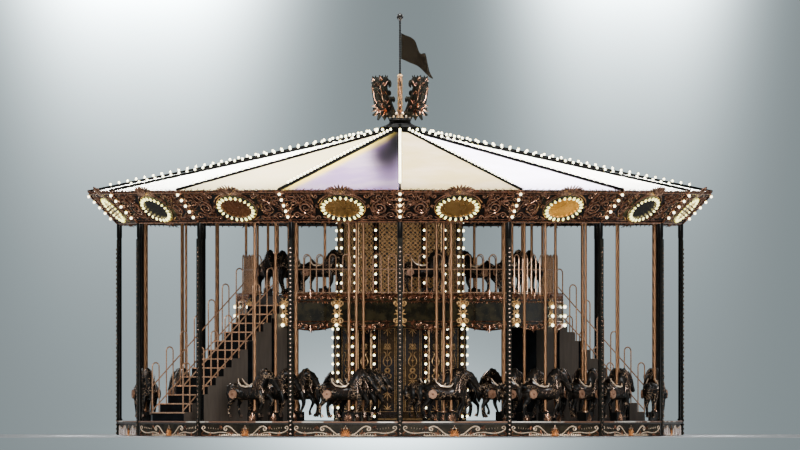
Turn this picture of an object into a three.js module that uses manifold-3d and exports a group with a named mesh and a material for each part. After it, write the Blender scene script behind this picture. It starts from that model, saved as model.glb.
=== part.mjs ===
// Fairground carousel with two decks, in millimetres, +Z up.
// The origin is on the turning axis at ground level and the front is -Y.
// Angles are counted from the front, positive towards +X, so a point at
// radius r and angle a is (r sin a, -r cos a).

import * as THREE from 'three';
import { mergeVertices } from 'three/addons/utils/BufferGeometryUtils.js';
import Module from 'manifold-3d';

const wasm = await Module();
wasm.setup();

// Sixteen-sided plan
const SIDES = 16;
const SECTOR = (2 * Math.PI) / SIDES;
const APOTHEM = Math.cos(SECTOR / 2);
const SEAT_GAP = 0.3;
const FLAT_TOLERANCE = 0.02;

// Platform, with radii measured to the corners
const FLOOR_TOP = 320;
const FLOOR_BOTTOM = 260;
const PLATFORM_RADIUS = 6000;
const SKIRT_OUTER = 5962;
const SKIRT_INNER = 5820;
const SKIRT_BOTTOM = 20;
const BASE_RADIUS = 2400;
const BASE_HEIGHT = 180;
const BEARING_RADIUS = 900;
const BEARING_GAP = 0.5;

// Posts and roof frame
const POST_AXIS_RADIUS = 5950;
const POST_RADIUS = 58;
const POST_TOP = 4500;
const FRAME_BOTTOM = 4560;
const FRAME_TOP = 4660;
const RING_BEAM_OUTER = 5930;
const RING_BEAM_INNER = 5800;
const HUB_RING_OUTER = 1450;
const SWEEP_WIDTH = 50;
const SWEEP_GAP = 80;

// Roof
const ROOF_APEX = 6530;
const ROOF_SLOPE = 0.2072;
const EAVE_RADIUS = 6586;
const ROOF_EYE = 330;
const CANOPY_THICKNESS = 25;
const RIB_WIDTH = 46;
const RIB_HEIGHT = 46;
const RIB_END = 6622;

// Rounding boards, which lean outwards under the eave
const BOARD_FOOT_RADIUS = 5974;
const BOARD_FOOT = 4500;
const BOARD_HEAD_RADIUS = 6600;
const BOARD_THICKNESS = 40;
const CREST_RISE = 100;
const DROP_DEPTH = 75;
const CORNER_HORN_FOOT_RADIUS = 6010;
const CORNER_HORN_FOOT = 4560;
const CORNER_HORN_RADIUS = 6590;
const CORNER_HORN_TOP = 5095;

// Crown, mast and flag
const CROWN_RADIUS = 430;
const CROWN_TOP = 6742;
const SPINDLE_RADIUS = 56;
const SPINDLE_TOP = 7675;
const SCROLL_COUNT = 8;
const SCROLL_THICKNESS = 36;
const MAST_RADIUS = 24;
const MAST_TOP = 8815;
const BALL_RADIUS = 76;
const SPIKE_TOP = 8970;
const FLAG_TOP = 8544;
const FLAG_BOTTOM = 7992;
const FLAG_THICKNESS = 14;
const FLAG_WAVE = 70;

// Centre drum and upper deck
const LOWER_DRUM_RADIUS = 1384;
const UPPER_DRUM_RADIUS = 1304;
const UPPER_DRUM_TOP = 4800;
const KING_POST_RADIUS = 250;
const UPPER_FLOOR = 2960;
const UPPER_DECK_RADIUS = 3400;
const FASCIA_RADIUS = 3456;
const FASCIA_BOTTOM = 2290;
const FASCIA_TOP = 3000;
const FASCIA_CREST = 53;
const FASCIA_DROP = 106;
const RAIL_RADIUS = 3350;
const RAIL_HOOP_HEIGHT = 888;
const RAIL_BAR = 26;
const RAIL_HOOPS_PER_SIDE = 4;
const LOW_RAIL_HEIGHT = 70;

// Stairs, one to the front left and its twin opposite
const STAIR_SECTORS = [-2.5, 5.5];
const STAIR_WIDTH = 1240;
const STAIR_RISERS = 14;
const STAIR_TREAD = 200;
const STAIR_RISE = (UPPER_FLOOR - FLOOR_TOP) / STAIR_RISERS;
const STAIR_HEAD_RADIUS = 3270;
const STAIR_FOOT_RADIUS = STAIR_HEAD_RADIUS + (STAIR_RISERS - 1) * STAIR_TREAD;
const STAIR_RAIL_HOOPS = 7;
const STAIR_HOOP_PITCH = 352;
const STAIR_HOOP_WIDTH = 194;
const STAIR_HOOP_HEIGHT = 1040;
const STAIR_RAIL_INSET = 30;
const STAIR_RAIL_HEIGHT = 45;

// Horses and their poles
const OUTER_ROW = 5491;
const JUMPER_ROW = 4706;
const INNER_ROW = 3943;
const UPPER_ROW = 2849;
const POLE_RADIUS = 30;
const POLE_BORE = 40;
const POLE_FOOT = 60;
const JUMPER_POLE_TOP = 4640;
const BLOCK = new THREE.Vector3(250, 180, 190);
const COLLAR_RADIUS = 56;
const COLLAR_HEIGHT = 34;
const ARC_HEIGHT = 60;
const ARC_WIDTH = 80;
const UPPER_HORSE_SCALE = 0.88;

const FINISH = {
  iron: material(0x15120f, 0.35, 0.6),
  bronze: material(0x6a4426, 0.35, 0.9),
  gold: material(0xb08040, 0.3, 1),
  floor: material(0x2b2723, 0.4, 0.3),
  panel: material(0x40352f, 0.45, 0.2),
  canvas: material(0xf1ece2, 0.6, 0),
  horse: material(0x1b1815, 0.3, 0.5),
  flag: material(0x2b2620, 0.85, 0),
};

function material(color, roughness, metalness) {
  return new THREE.MeshStandardMaterial({ color, roughness, metalness });
}

// A closed geometry as a solid that can be joined or cut, faces outwards.
function solidOf(geometry) {
  const bare = geometry.clone();
  bare.deleteAttribute('normal');
  bare.deleteAttribute('uv');
  const merged = mergeVertices(bare, 1e-3);
  const position = merged.attributes.position;
  const corner = [new THREE.Vector3(), new THREE.Vector3(), new THREE.Vector3()];
  const faces = [];
  let volume = 0;
  for (let i = 0; i < merged.index.count; i += 3) {
    const face = [0, 1, 2].map((k) => merged.index.getX(i + k));
    if (new Set(face).size < 3) continue;
    face.forEach((vertex, k) => corner[k].fromBufferAttribute(position, vertex));
    volume += corner[0].dot(corner[1].clone().cross(corner[2]));
    faces.push(face);
  }
  const outward = volume < 0 ? faces.map(([a, b, c]) => [a, c, b]) : faces;
  return new wasm.Manifold(new wasm.Mesh({
    numProp: 3,
    vertProperties: Float32Array.from(position.array),
    triVerts: Uint32Array.from(outward.flat()),
  }));
}

// The solid's surface, with the needless edges inside flat faces taken out.
function geometryOf(solid) {
  const mesh = solid.asOriginal().simplify(FLAT_TOLERANCE).getMesh();
  const geometry = new THREE.BufferGeometry();
  geometry.setAttribute('position', new THREE.BufferAttribute(mesh.vertProperties, 3));
  geometry.setIndex(new THREE.BufferAttribute(mesh.triVerts, 1));
  geometry.computeVertexNormals();
  return geometry;
}

function join(geometries) {
  return wasm.Manifold.union(geometries.map(solidOf));
}

function cut(solid, geometries) {
  return geometries.reduce((left, tool) => left.subtract(solidOf(tool)), solid);
}

function piece(name, solid, finish) {
  const mesh = new THREE.Mesh(geometryOf(solid), finish);
  mesh.name = name;
  return mesh;
}

// A profile of [radius, height] points turned about +Z, one corner at the front.
function turned(profile, sides = SIDES) {
  const points = profile.map(([radius, height]) => new THREE.Vector2(radius, height));
  return new THREE.LatheGeometry(points, sides).rotateX(Math.PI / 2);
}

function ringProfile(inner, outer, bottom, top) {
  return [[inner, bottom], [outer, bottom], [outer, top], [inner, top], [inner, bottom]];
}

function box(x0, x1, y0, y1, z0, z1) {
  return new THREE.BoxGeometry(x1 - x0, y1 - y0, z1 - z0)
    .translate((x0 + x1) / 2, (y0 + y1) / 2, (z0 + z1) / 2);
}

// An outline of [x, z] points, given thickness along Y about y = 0.
function plate(outline, thickness) {
  const shape = new THREE.Shape(outline.map(([x, z]) => new THREE.Vector2(x, z)));
  return new THREE.ExtrudeGeometry(shape, { depth: thickness, bevelEnabled: false })
    .translate(0, 0, -thickness / 2)
    .rotateX(Math.PI / 2);
}

// A front-facing geometry turned round the axis by a number of sectors.
function atSector(geometry, sectors) {
  return geometry.clone().rotateZ(sectors * SECTOR);
}

function upright(radius, bottom, top, sides) {
  return turned([[0, bottom], [radius, bottom], [radius, top], [0, top]], sides);
}

const corners = Array.from({ length: SIDES }, (_, k) => k);
const middles = corners.map((k) => k + 0.5);
const sameSector = (a, b) => Math.abs(((a - b + SIDES * 1.5) % SIDES) - SIDES / 2) < 0.1;
const isStair = (sector) => STAIR_SECTORS.some((stair) => sameSector(stair, sector));

// Sectors of the right half, from just past the front stair to the back one,
// then those of the left half.
const rightHalf = [-1.5, -0.5, 0.5, 1.5, 2.5, 3.5, 4.5];
const leftHalf = rightHalf.map((sector) => sector + SIDES / 2);
const horseSectors = [...rightHalf, ...leftHalf];

// Ground base: low turntable foot with the bearing seat
function groundBase() {
  const bearingTop = FLOOR_BOTTOM - BEARING_GAP;
  return join([turned([
    [0, 0], [BASE_RADIUS, 0], [BASE_RADIUS, BASE_HEIGHT * 0.7], [BASE_RADIUS * 0.93, BASE_HEIGHT],
    [BEARING_RADIUS, BASE_HEIGHT], [BEARING_RADIUS, bearingTop], [0, bearingTop],
  ])]);
}

function postNotch() {
  return upright(POST_RADIUS + 2 * SEAT_GAP, 0, POST_TOP, 8).translate(0, -POST_AXIS_RADIUS, 0);
}

function poleBlock(bottom) {
  const half = BLOCK.clone().multiplyScalar(0.5);
  return box(-half.x, half.x, -half.y, half.y, bottom, BLOCK.z);
}

// Floor slab with a bored sleeve block for each jumping pole
function platformDeck() {
  const slab = upright(PLATFORM_RADIUS, FLOOR_BOTTOM, FLOOR_TOP, SIDES);
  const blocks = horseSectors.map((sector) =>
    atSector(poleBlock(-5).translate(0, -JUMPER_ROW, FLOOR_TOP), sector));
  const bores = horseSectors.map((sector) =>
    atSector(upright(POLE_BORE, 0, 1000, 6).translate(0, -JUMPER_ROW, 0), sector));
  const notches = corners.map((k) => atSector(postNotch(), k));
  return cut(join([slab, ...blocks]), [...bores, ...notches]);
}

function platformSkirt() {
  const top = FLOOR_BOTTOM - SEAT_GAP;
  const ring = turned(ringProfile(SKIRT_INNER, SKIRT_OUTER, SKIRT_BOTTOM, top));
  return cut(join([ring]), corners.map((k) => atSector(postNotch(), k)));
}

function post(name, sector) {
  const shaft = upright(POST_RADIUS, SKIRT_BOTTOM, POST_TOP - SEAT_GAP, 8);
  const mesh = piece(name, join([shaft]), FINISH.iron);
  mesh.position.set(0, -POST_AXIS_RADIUS, 0);
  const turn = new THREE.Group();
  turn.rotation.z = sector * SECTOR;
  turn.add(mesh);
  return turn;
}

// Ring beam on the posts, hub ring round the drum, and a pair of sweeps
// to every side, far enough apart for the poles between them
function roofFrame() {
  const ring = turned(ringProfile(RING_BEAM_INNER, RING_BEAM_OUTER, POST_TOP, FRAME_TOP));
  const hub = turned(ringProfile(UPPER_DRUM_RADIUS + SEAT_GAP * 2, HUB_RING_OUTER,
    FRAME_BOTTOM, FRAME_TOP));
  const inner = HUB_RING_OUTER * APOTHEM - 30;
  const outer = RING_BEAM_INNER * APOTHEM + 30;
  const near = SWEEP_GAP / 2;
  const bars = [-1, 1].map((side) => box(
    Math.min(side * near, side * (near + SWEEP_WIDTH)),
    Math.max(side * near, side * (near + SWEEP_WIDTH)),
    -outer, -inner, FRAME_BOTTOM, FRAME_TOP - 1));
  const sweeps = middles.flatMap((sector) => bars.map((bar) => atSector(bar, sector)));
  return join([ring, hub, ...sweeps]);
}

function roofHeight(radius) {
  return ROOF_APEX - ROOF_SLOPE * radius;
}

// One leaning board to each side, with a crest, a drop and corner horns
function roundingBoards() {
  const under = (radius) => roofHeight(radius) - CANOPY_THICKNESS - 2 * SEAT_GAP;
  const innerHead = BOARD_HEAD_RADIUS - BOARD_THICKNESS;
  const ring = turned([
    [BOARD_FOOT_RADIUS - BOARD_THICKNESS, BOARD_FOOT + SEAT_GAP],
    [BOARD_FOOT_RADIUS, BOARD_FOOT + SEAT_GAP],
    [BOARD_HEAD_RADIUS, under(BOARD_HEAD_RADIUS)],
    [innerHead, under(innerHead)],
    [BOARD_FOOT_RADIUS - BOARD_THICKNESS, BOARD_FOOT + SEAT_GAP],
  ]);
  const seat = turned(ringProfile(RING_BEAM_OUTER + 2 * SEAT_GAP, BOARD_FOOT_RADIUS - 10,
    BOARD_FOOT + SEAT_GAP, BOARD_FOOT + 60));
  const lean = Math.atan2((BOARD_HEAD_RADIUS - BOARD_FOOT_RADIUS) * APOTHEM,
    under(BOARD_HEAD_RADIUS) - BOARD_FOOT);
  const length = (under(BOARD_HEAD_RADIUS) - BOARD_FOOT) / Math.cos(lean);
  const ornament = plate([
    [-300, 40], [0, -DROP_DEPTH], [300, 40], [230, length], [90, length + CREST_RISE],
    [-90, length + CREST_RISE], [-230, length],
  ], 30).rotateX(lean).translate(0, -BOARD_FOOT_RADIUS * APOTHEM - 13, BOARD_FOOT);
  const hornOut = CORNER_HORN_RADIUS - CORNER_HORN_FOOT_RADIUS;
  const hornRise = CORNER_HORN_TOP - CORNER_HORN_FOOT;
  const horn = plate([[-60, 0], [60, 0], [0, Math.hypot(hornOut, hornRise)]], 60)
    .rotateX(Math.atan2(hornOut, hornRise))
    .translate(0, -CORNER_HORN_FOOT_RADIUS, CORNER_HORN_FOOT);
  const trims = middles.map((sector) => atSector(ornament, sector));
  const horns = corners.map((k) => atSector(horn, k));
  return join([ring, seat, ...trims, ...horns]);
}

function roofCanopy() {
  return join([turned([
    [ROOF_EYE, roofHeight(ROOF_EYE) - CANOPY_THICKNESS],
    [EAVE_RADIUS, roofHeight(EAVE_RADIUS) - CANOPY_THICKNESS],
    [EAVE_RADIUS, roofHeight(EAVE_RADIUS)],
    [ROOF_EYE, roofHeight(ROOF_EYE)],
    [ROOF_EYE, roofHeight(ROOF_EYE) - CANOPY_THICKNESS],
  ])]);
}

// A rib along each ridge and the ring that they meet at
function roofRibs() {
  const pitch = Math.atan(ROOF_SLOPE);
  const start = ROOF_EYE + 60;
  const length = (RIB_END - start) / Math.cos(pitch);
  const rib = new THREE.BoxGeometry(RIB_WIDTH, length, RIB_HEIGHT)
    .translate(0, -length / 2, RIB_HEIGHT / 2 + SEAT_GAP)
    .rotateX(pitch)
    .translate(0, -start, roofHeight(start));
  const over = (radius) => roofHeight(radius) + 2 * SEAT_GAP;
  const ring = turned([
    [ROOF_EYE + 10, over(ROOF_EYE + 10)],
    [CROWN_RADIUS + 20, over(CROWN_RADIUS + 20)],
    [CROWN_RADIUS + 20, ROOF_APEX - 10],
    [ROOF_EYE + 10, ROOF_APEX - 10],
    [ROOF_EYE + 10, over(ROOF_EYE + 10)],
  ]);
  return join([ring, ...corners.map((k) => atSector(rib, k))]);
}

// Trumpet-shaped foot of the crown, which stands on the rib ring
function crownBase() {
  const foot = ROOF_APEX - 10 + SEAT_GAP;
  return join([turned([
    [0, foot], [CROWN_RADIUS, foot], [CROWN_RADIUS, foot + 30], [300, foot + 70],
    [170, foot + 120], [110, CROWN_TOP - 20], [110, CROWN_TOP], [0, CROWN_TOP],
  ])]);
}

// Tall spindle with eight flat scroll plates standing out from it
function crownScrolls() {
  const foot = CROWN_TOP + SEAT_GAP;
  const spindle = turned([
    [0, foot], [SPINDLE_RADIUS * 1.3, foot], [SPINDLE_RADIUS, foot + 120],
    [SPINDLE_RADIUS * 0.8, SPINDLE_TOP - 160], [SPINDLE_RADIUS, SPINDLE_TOP], [0, SPINDLE_TOP],
  ], 8);
  const scroll = plate([
    [30, 6850], [140, 6790], [200, 6690], [420, 6665], [540, 6790], [480, 6980], [280, 7010],
    [470, 7220], [612, 7450], [540, 7640], [400, 7620], [150, 7170], [30, 7010],
  ], SCROLL_THICKNESS);
  const plates = Array.from({ length: SCROLL_COUNT }, (_, k) =>
    scroll.clone().rotateZ((k * 2 * Math.PI) / SCROLL_COUNT));
  return join([spindle, ...plates]);
}

function flagMast() {
  const ball = (MAST_TOP + BALL_RADIUS * 0.95);
  const across = (degrees) => BALL_RADIUS * Math.sin(THREE.MathUtils.degToRad(degrees));
  const along = (degrees) => ball - BALL_RADIUS * Math.cos(THREE.MathUtils.degToRad(degrees));
  const bulge = [30, 60, 90, 120, 150].map((degrees) => [across(degrees), along(degrees)]);
  return join([turned([
    [0, SPINDLE_TOP + SEAT_GAP], [MAST_RADIUS * 1.5, SPINDLE_TOP + SEAT_GAP],
    [MAST_RADIUS, SPINDLE_TOP + 80], [MAST_RADIUS, MAST_TOP], ...bulge, [0, SPIKE_TOP],
  ], 8)]);
}

// Cloth flag that flies towards +X and droops, as a thin wavy solid
function flag() {
  const hoist = MAST_RADIUS + SEAT_GAP;
  const top = [[hoist, FLAG_TOP], [110, 8487], [246, 8420], [330, 8330], [400, 8170],
    [510, 8108], [565, 8010], [600, 7800], [700, 7590]];
  const bottom = [[hoist, FLAG_BOTTOM], [110, 7935], [246, 7880], [330, 7862], [400, 7800],
    [455, 7725], [510, 7670], [560, 7610], [640, 7570]];
  const columns = top.map((edge, i) => [edge, bottom[i]]);
  const sway = (i) => FLAG_WAVE * Math.sin((i / (columns.length - 1)) * 2 * Math.PI) * 0.8;
  const points = columns.flatMap((column, i) => [-1, 1].flatMap((side) =>
    column.map(([x, z]) => [x, sway(i) + (side * FLAG_THICKNESS) / 2, z])));
  const faces = [[0, 2, 3], [0, 3, 1]];
  const last = (columns.length - 1) * 4;
  faces.push([last, last + 1, last + 3], [last, last + 3, last + 2]);
  const loop = [0, 1, 3, 2];
  for (let i = 0; i < columns.length - 1; i += 1) {
    loop.forEach((from, k) => {
      const a = 4 * i + from;
      const b = 4 * i + loop[(k + 1) % 4];
      faces.push([a, b, b + 4], [a, b + 4, a + 4]);
    });
  }
  const geometry = new THREE.BufferGeometry();
  geometry.setAttribute('position', new THREE.Float32BufferAttribute(points.flat(), 3));
  geometry.setIndex(faces.flat());
  return join([geometry]);
}

const upperDeckBottom = UPPER_FLOOR - STAIR_RISE;

function lowerDrum() {
  return join([upright(LOWER_DRUM_RADIUS, FLOOR_TOP, upperDeckBottom, SIDES)]);
}

// Upper drum with the king post that carries the middle of the roof
function upperDrum() {
  return join([turned([
    [0, UPPER_FLOOR], [UPPER_DRUM_RADIUS, UPPER_FLOOR], [UPPER_DRUM_RADIUS, UPPER_DRUM_TOP],
    [KING_POST_RADIUS, UPPER_DRUM_TOP + 40], [KING_POST_RADIUS, ROOF_APEX - 10],
    [0, ROOF_APEX - 10],
  ])]);
}

function stairGap(halfWidth, head) {
  return STAIR_SECTORS.map((sector) =>
    atSector(box(-halfWidth, halfWidth, -2 * head, -head, 0, POST_TOP), sector));
}

function upperDeck() {
  const slab = turned(ringProfile(UPPER_DRUM_RADIUS - 200, UPPER_DECK_RADIUS - 2 * SEAT_GAP,
    upperDeckBottom, UPPER_FLOOR));
  return cut(join([slab]), stairGap(STAIR_WIDTH / 2 + 10, STAIR_HEAD_RADIUS));
}

// The two halves of a ring that the stairs divide, right half first
function halves(ring) {
  const parts = ring.decompose();
  return parts.sort((a, b) => middleX(b) - middleX(a));
}

function middleX(solid) {
  const bounds = solid.boundingBox();
  return bounds.min[0] + bounds.max[0];
}

function upperFascias() {
  const ring = turned(ringProfile(UPPER_DECK_RADIUS, FASCIA_RADIUS, FASCIA_BOTTOM, FASCIA_TOP));
  const height = FASCIA_TOP - FASCIA_BOTTOM;
  const ornament = plate([
    [-320, 20], [0, -FASCIA_DROP], [320, 20], [150, height + FASCIA_CREST],
    [-150, height + FASCIA_CREST],
  ], 30).translate(0, -FASCIA_RADIUS * APOTHEM - 5, FASCIA_BOTTOM);
  const strip = box(-70, 70, -FASCIA_RADIUS - 22, -FASCIA_RADIUS + 30, FASCIA_BOTTOM + 20,
    FASCIA_TOP - 20);
  const ornaments = middles.filter((sector) => !isStair(sector))
    .map((sector) => atSector(ornament, sector));
  const strips = corners.map((k) => atSector(strip, k));
  return halves(cut(join([ring, ...ornaments, ...strips]),
    stairGap(STAIR_WIDTH / 2 + 12, STAIR_HEAD_RADIUS - 300)));
}

// An arch-topped hoop of flat bar; its two feet may stand at different heights
function hoop(x, width, top, leftFoot, rightFoot) {
  const half = width / 2;
  const inside = half - RAIL_BAR;
  const shoulder = top - half * 0.7;
  return plate([
    [x - half, leftFoot], [x - half, shoulder], [x, top], [x + half, shoulder],
    [x + half, rightFoot], [x + inside, rightFoot], [x + inside, shoulder - 8],
    [x, top - RAIL_BAR * 1.3], [x - inside, shoulder - 8], [x - inside, leftFoot],
  ].reverse(), RAIL_BAR);
}

function railBetween(x0, z0, x1, z1) {
  const half = RAIL_BAR / 2;
  return plate([[x0, z0 - half], [x1, z1 - half], [x1, z1 + half], [x0, z0 + half]], RAIL_BAR);
}

// Railing round one half of the upper deck
function upperRailing(sectors) {
  const chord = 2 * RAIL_RADIUS * Math.sin(SECTOR / 2);
  const pitch = chord / RAIL_HOOPS_PER_SIDE;
  const reach = chord / 2 + 4;
  const rail = UPPER_FLOOR + LOW_RAIL_HEIGHT;
  const hoops = Array.from({ length: RAIL_HOOPS_PER_SIDE }, (_, i) =>
    hoop((i + 0.5) * pitch - chord / 2, STAIR_HOOP_WIDTH, UPPER_FLOOR + RAIL_HOOP_HEIGHT,
      i % 2 === 0 ? UPPER_FLOOR : rail, rail));
  const side = [...hoops, railBetween(-reach, rail, reach, rail)]
    .map((geometry) => geometry.translate(0, -RAIL_RADIUS * APOTHEM, 0));
  return join(sectors.flatMap((sector) => side.map((geometry) => atSector(geometry, sector))));
}

// A stair geometry drawn with x as minus the radius, laid along the front radius
function alongRadius(geometry, offset) {
  return geometry.rotateZ(Math.PI / 2).translate(offset, 0, 0);
}

function treadHeight(radius) {
  const step = Math.floor((STAIR_FOOT_RADIUS - radius) / STAIR_TREAD) + 1;
  return FLOOR_TOP + Math.min(Math.max(step, 0), STAIR_RISERS - 1) * STAIR_RISE;
}

// Boxed flight of treads and risers; the deck edge is its last riser
function stairFlight(sector) {
  const outline = [[-STAIR_FOOT_RADIUS, FLOOR_TOP]];
  for (let i = 0; i < STAIR_RISERS - 1; i += 1) {
    const nosing = -STAIR_FOOT_RADIUS + i * STAIR_TREAD;
    const height = FLOOR_TOP + (i + 1) * STAIR_RISE - (i === STAIR_RISERS - 2 ? SEAT_GAP : 0);
    outline.push([nosing, height], [nosing + STAIR_TREAD, height]);
  }
  outline.push([-STAIR_HEAD_RADIUS, FLOOR_TOP]);
  const flight = alongRadius(plate(outline.reverse(), STAIR_WIDTH), 0);
  return join([atSector(flight, sector)]);
}

// Hooped railing on one side of a flight
function stairRailing(sector, side) {
  const slope = STAIR_RISE / STAIR_TREAD;
  const first = STAIR_FOOT_RADIUS - 75;
  const nosingLine = (radius) => FLOOR_TOP + STAIR_RISE + (STAIR_FOOT_RADIUS - radius) * slope;
  const foot = (radius) => Math.max(treadHeight(radius - RAIL_BAR), treadHeight(radius + RAIL_BAR));
  const hoops = Array.from({ length: STAIR_RAIL_HOOPS }, (_, k) => {
    const radius = first - k * STAIR_HOOP_PITCH;
    const half = (STAIR_HOOP_WIDTH - RAIL_BAR) / 2;
    return hoop(-radius, STAIR_HOOP_WIDTH, nosingLine(radius) + STAIR_HOOP_HEIGHT - 60,
      foot(radius + half) + SEAT_GAP, nosingLine(radius - half) + STAIR_RAIL_HEIGHT);
  });
  const start = first + STAIR_HOOP_WIDTH / 2 - 2;
  const end = first - (STAIR_RAIL_HOOPS - 1) * STAIR_HOOP_PITCH - STAIR_HOOP_WIDTH / 2 - 120;
  const rail = railBetween(-start, nosingLine(start) + STAIR_RAIL_HEIGHT,
    -end, nosingLine(end) + STAIR_RAIL_HEIGHT);
  const offset = side * (STAIR_WIDTH / 2 - STAIR_RAIL_INSET);
  return join([...hoops, rail]
    .map((geometry) => atSector(alongRadius(geometry, offset), sector)));
}

const HORSE_OUTLINE = [
  [678, 950], [600, 880], [350, 1030], [270, 880], [430, 700], [310, 470], [240, 740],
  [190, 420], [50, 742], [-280, 770], [-430, 413], [-440, 720], [-610, 413],
  [-560, 880], [-657, 780], [-650, 1080], [-480, 1165], [-190, 1043], [20, 1100],
  [160, 1380], [300, 1442], [480, 1330],
];
const HORSE_BARREL = [[-510, 950], [-380, 800], [190, 840], [180, 1010], [-420, 1060]];
const HORSE_EDGE = 80;
const HORSE_GIRTH = 330;

// A horse facing +X with its pole on the Z axis: a flat outline whose
// barrel swells out on both sides
function horse(scale, drop) {
  const flat = (points) => points.map(([x, z]) => new THREE.Vector2(x, z));
  const area = (a, b, c) => (b[0] - a[0]) * (c[1] - a[1]) - (c[0] - a[0]) * (b[1] - a[1]);
  const drawn = [...HORSE_OUTLINE, ...HORSE_BARREL];
  const shift = HORSE_OUTLINE.length;
  const ring = THREE.ShapeUtils.triangulateShape(flat(HORSE_OUTLINE), [flat(HORSE_BARREL)]);
  const cap = THREE.ShapeUtils.triangulateShape(flat(HORSE_BARREL), [])
    .map((face) => face.map((vertex) => vertex + shift));
  const front = [...ring, ...cap].map(([a, b, c]) =>
    (area(drawn[a], drawn[b], drawn[c]) > 0 ? [a, b, c] : [a, c, b]));
  const back = front.map(([a, b, c]) => [a + drawn.length, c + drawn.length, b + drawn.length]);
  const turn = THREE.ShapeUtils.area(flat(HORSE_OUTLINE)) > 0 ? 1 : -1;
  const rim = HORSE_OUTLINE.flatMap((_, i) => {
    const next = (i + 1) % shift;
    const [a, b] = turn > 0 ? [i, next] : [next, i];
    return [[a, a + drawn.length, b + drawn.length], [a, b + drawn.length, b]];
  });
  const points = [-1, 1].flatMap((side) => drawn.map(([x, z], i) =>
    [x, (side * (i < shift ? HORSE_EDGE : HORSE_GIRTH)) / 2, z]));
  const geometry = new THREE.BufferGeometry();
  geometry.setAttribute('position', new THREE.Float32BufferAttribute(points.flat(), 3));
  geometry.setIndex([...front, ...back, ...rim].flat());
  return geometry.translate(0, 0, -FLOOR_TOP).scale(scale, scale, scale).translate(0, 0, drop);
}

// The overhead arc that joins the poles of one fixed row
function overheadArc(radius, sectors, step) {
  const half = radius * Math.sin((step * SECTOR) / 2) + 12;
  const middle = radius * Math.cos((step * SECTOR) / 2);
  const beam = box(-half, half, -middle - ARC_WIDTH / 2, -middle + ARC_WIDTH / 2,
    FRAME_BOTTOM - ARC_HEIGHT, FRAME_BOTTOM);
  return sectors.slice(1).map((sector) => atSector(beam, sector - step / 2));
}

// Horses that stand on one row, with their poles and blocks
function fixedRow(radius, sectors, step, floor, scale) {
  const block = poleBlock(0).scale(scale, scale, scale).translate(0, 0, floor);
  const top = floor + BLOCK.z * scale;
  const pole = upright(POLE_RADIUS, top - 10, FRAME_BOTTOM - 10, 6);
  const unit = [block, pole, horse(scale, floor)]
    .map((geometry) => geometry.translate(0, -radius, 0));
  return join([
    ...sectors.flatMap((sector) => unit.map((geometry) => atSector(geometry, sector))),
    ...overheadArc(radius, sectors, step),
  ]);
}

// A horse that rises and falls on its own pole
const jumperSolid = join([
  upright(POLE_RADIUS, POLE_FOOT, JUMPER_POLE_TOP, 6),
  upright(COLLAR_RADIUS, FLOOR_TOP + BLOCK.z + SEAT_GAP, FLOOR_TOP + BLOCK.z + COLLAR_HEIGHT, 6),
  horse(1, FLOOR_TOP),
]);

function jumper(name, sector) {
  const mesh = piece(name, jumperSolid, FINISH.horse);
  mesh.position.set(0, -JUMPER_ROW, 0);
  const turn = new THREE.Group();
  turn.rotation.z = sector * SECTOR;
  turn.add(mesh);
  return turn;
}

const numbered = (stem, i) => `${stem}_${String(i + 1).padStart(2, '0')}`;
const upperHorseSectors = (half) => half.filter((_, i) => i % 2 === 0);

const carousel = new THREE.Group();
carousel.add(
  piece('platform_deck', platformDeck(), FINISH.floor),
  piece('platform_skirt', platformSkirt(), FINISH.bronze),
  ...corners.map((k) => post(numbered('post', k), k)),
  piece('roof_frame', roofFrame(), FINISH.iron),
  piece('rounding_boards', roundingBoards(), FINISH.bronze),
  piece('roof_canopy', roofCanopy(), FINISH.canvas),
  piece('roof_ribs', roofRibs(), FINISH.iron),
  piece('crown_base', crownBase(), FINISH.iron),
  piece('crown_scrolls', crownScrolls(), FINISH.bronze),
  piece('flag_mast', flagMast(), FINISH.iron),
  piece('flag', flag(), FINISH.flag),
  piece('lower_drum', lowerDrum(), FINISH.bronze),
  piece('upper_drum', upperDrum(), FINISH.gold),
  piece('upper_deck', upperDeck(), FINISH.floor),
);
upperFascias().forEach((solid, i) =>
  carousel.add(piece(`upper_fascia_${['right', 'left'][i]}`, solid, FINISH.bronze)));
[['right', rightHalf], ['left', leftHalf]].forEach(([half, sectors]) => {
  const everySecond = upperHorseSectors(sectors);
  carousel.add(
    piece(`upper_railing_${half}`, upperRailing(sectors), FINISH.bronze),
    piece(`outer_horses_${half}`, fixedRow(OUTER_ROW, sectors, 1, FLOOR_TOP, 1), FINISH.horse),
    piece(`inner_horses_${half}`, fixedRow(INNER_ROW, sectors, 1, FLOOR_TOP, 1), FINISH.horse),
    piece(`upper_horses_${half}`,
      fixedRow(UPPER_ROW, everySecond, 2, UPPER_FLOOR, UPPER_HORSE_SCALE), FINISH.horse),
  );
});
STAIR_SECTORS.forEach((sector, i) => {
  const place = ['front', 'back'][i];
  carousel.add(
    piece(`stair_${place}`, stairFlight(sector), FINISH.panel),
    piece(`stair_${place}_railing_left`, stairRailing(sector, -1), FINISH.bronze),
    piece(`stair_${place}_railing_right`, stairRailing(sector, 1), FINISH.bronze),
  );
});
horseSectors.forEach((sector, i) => carousel.add(jumper(numbered('jumping_horse', i), sector)));

const fairgroundCarousel = new THREE.Group();
fairgroundCarousel.add(piece('ground_base', groundBase(), FINISH.iron), carousel);

export default fairgroundCarousel;
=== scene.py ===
"""A two-deck fairground carousel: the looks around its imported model.

Everything is in metres in the model's own frame: the turning axis is Z, the front is -Y and
the ground is z = 0. The plan has sixteen sides, with a corner at the front. What repeats is
made once at the front and copied round the axis.
"""

import logging
import math
from collections.abc import Callable, Iterable, Sequence
from dataclasses import dataclass, field
from enum import Enum

import bmesh
import bpy
from mathutils import Matrix, Vector


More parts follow.
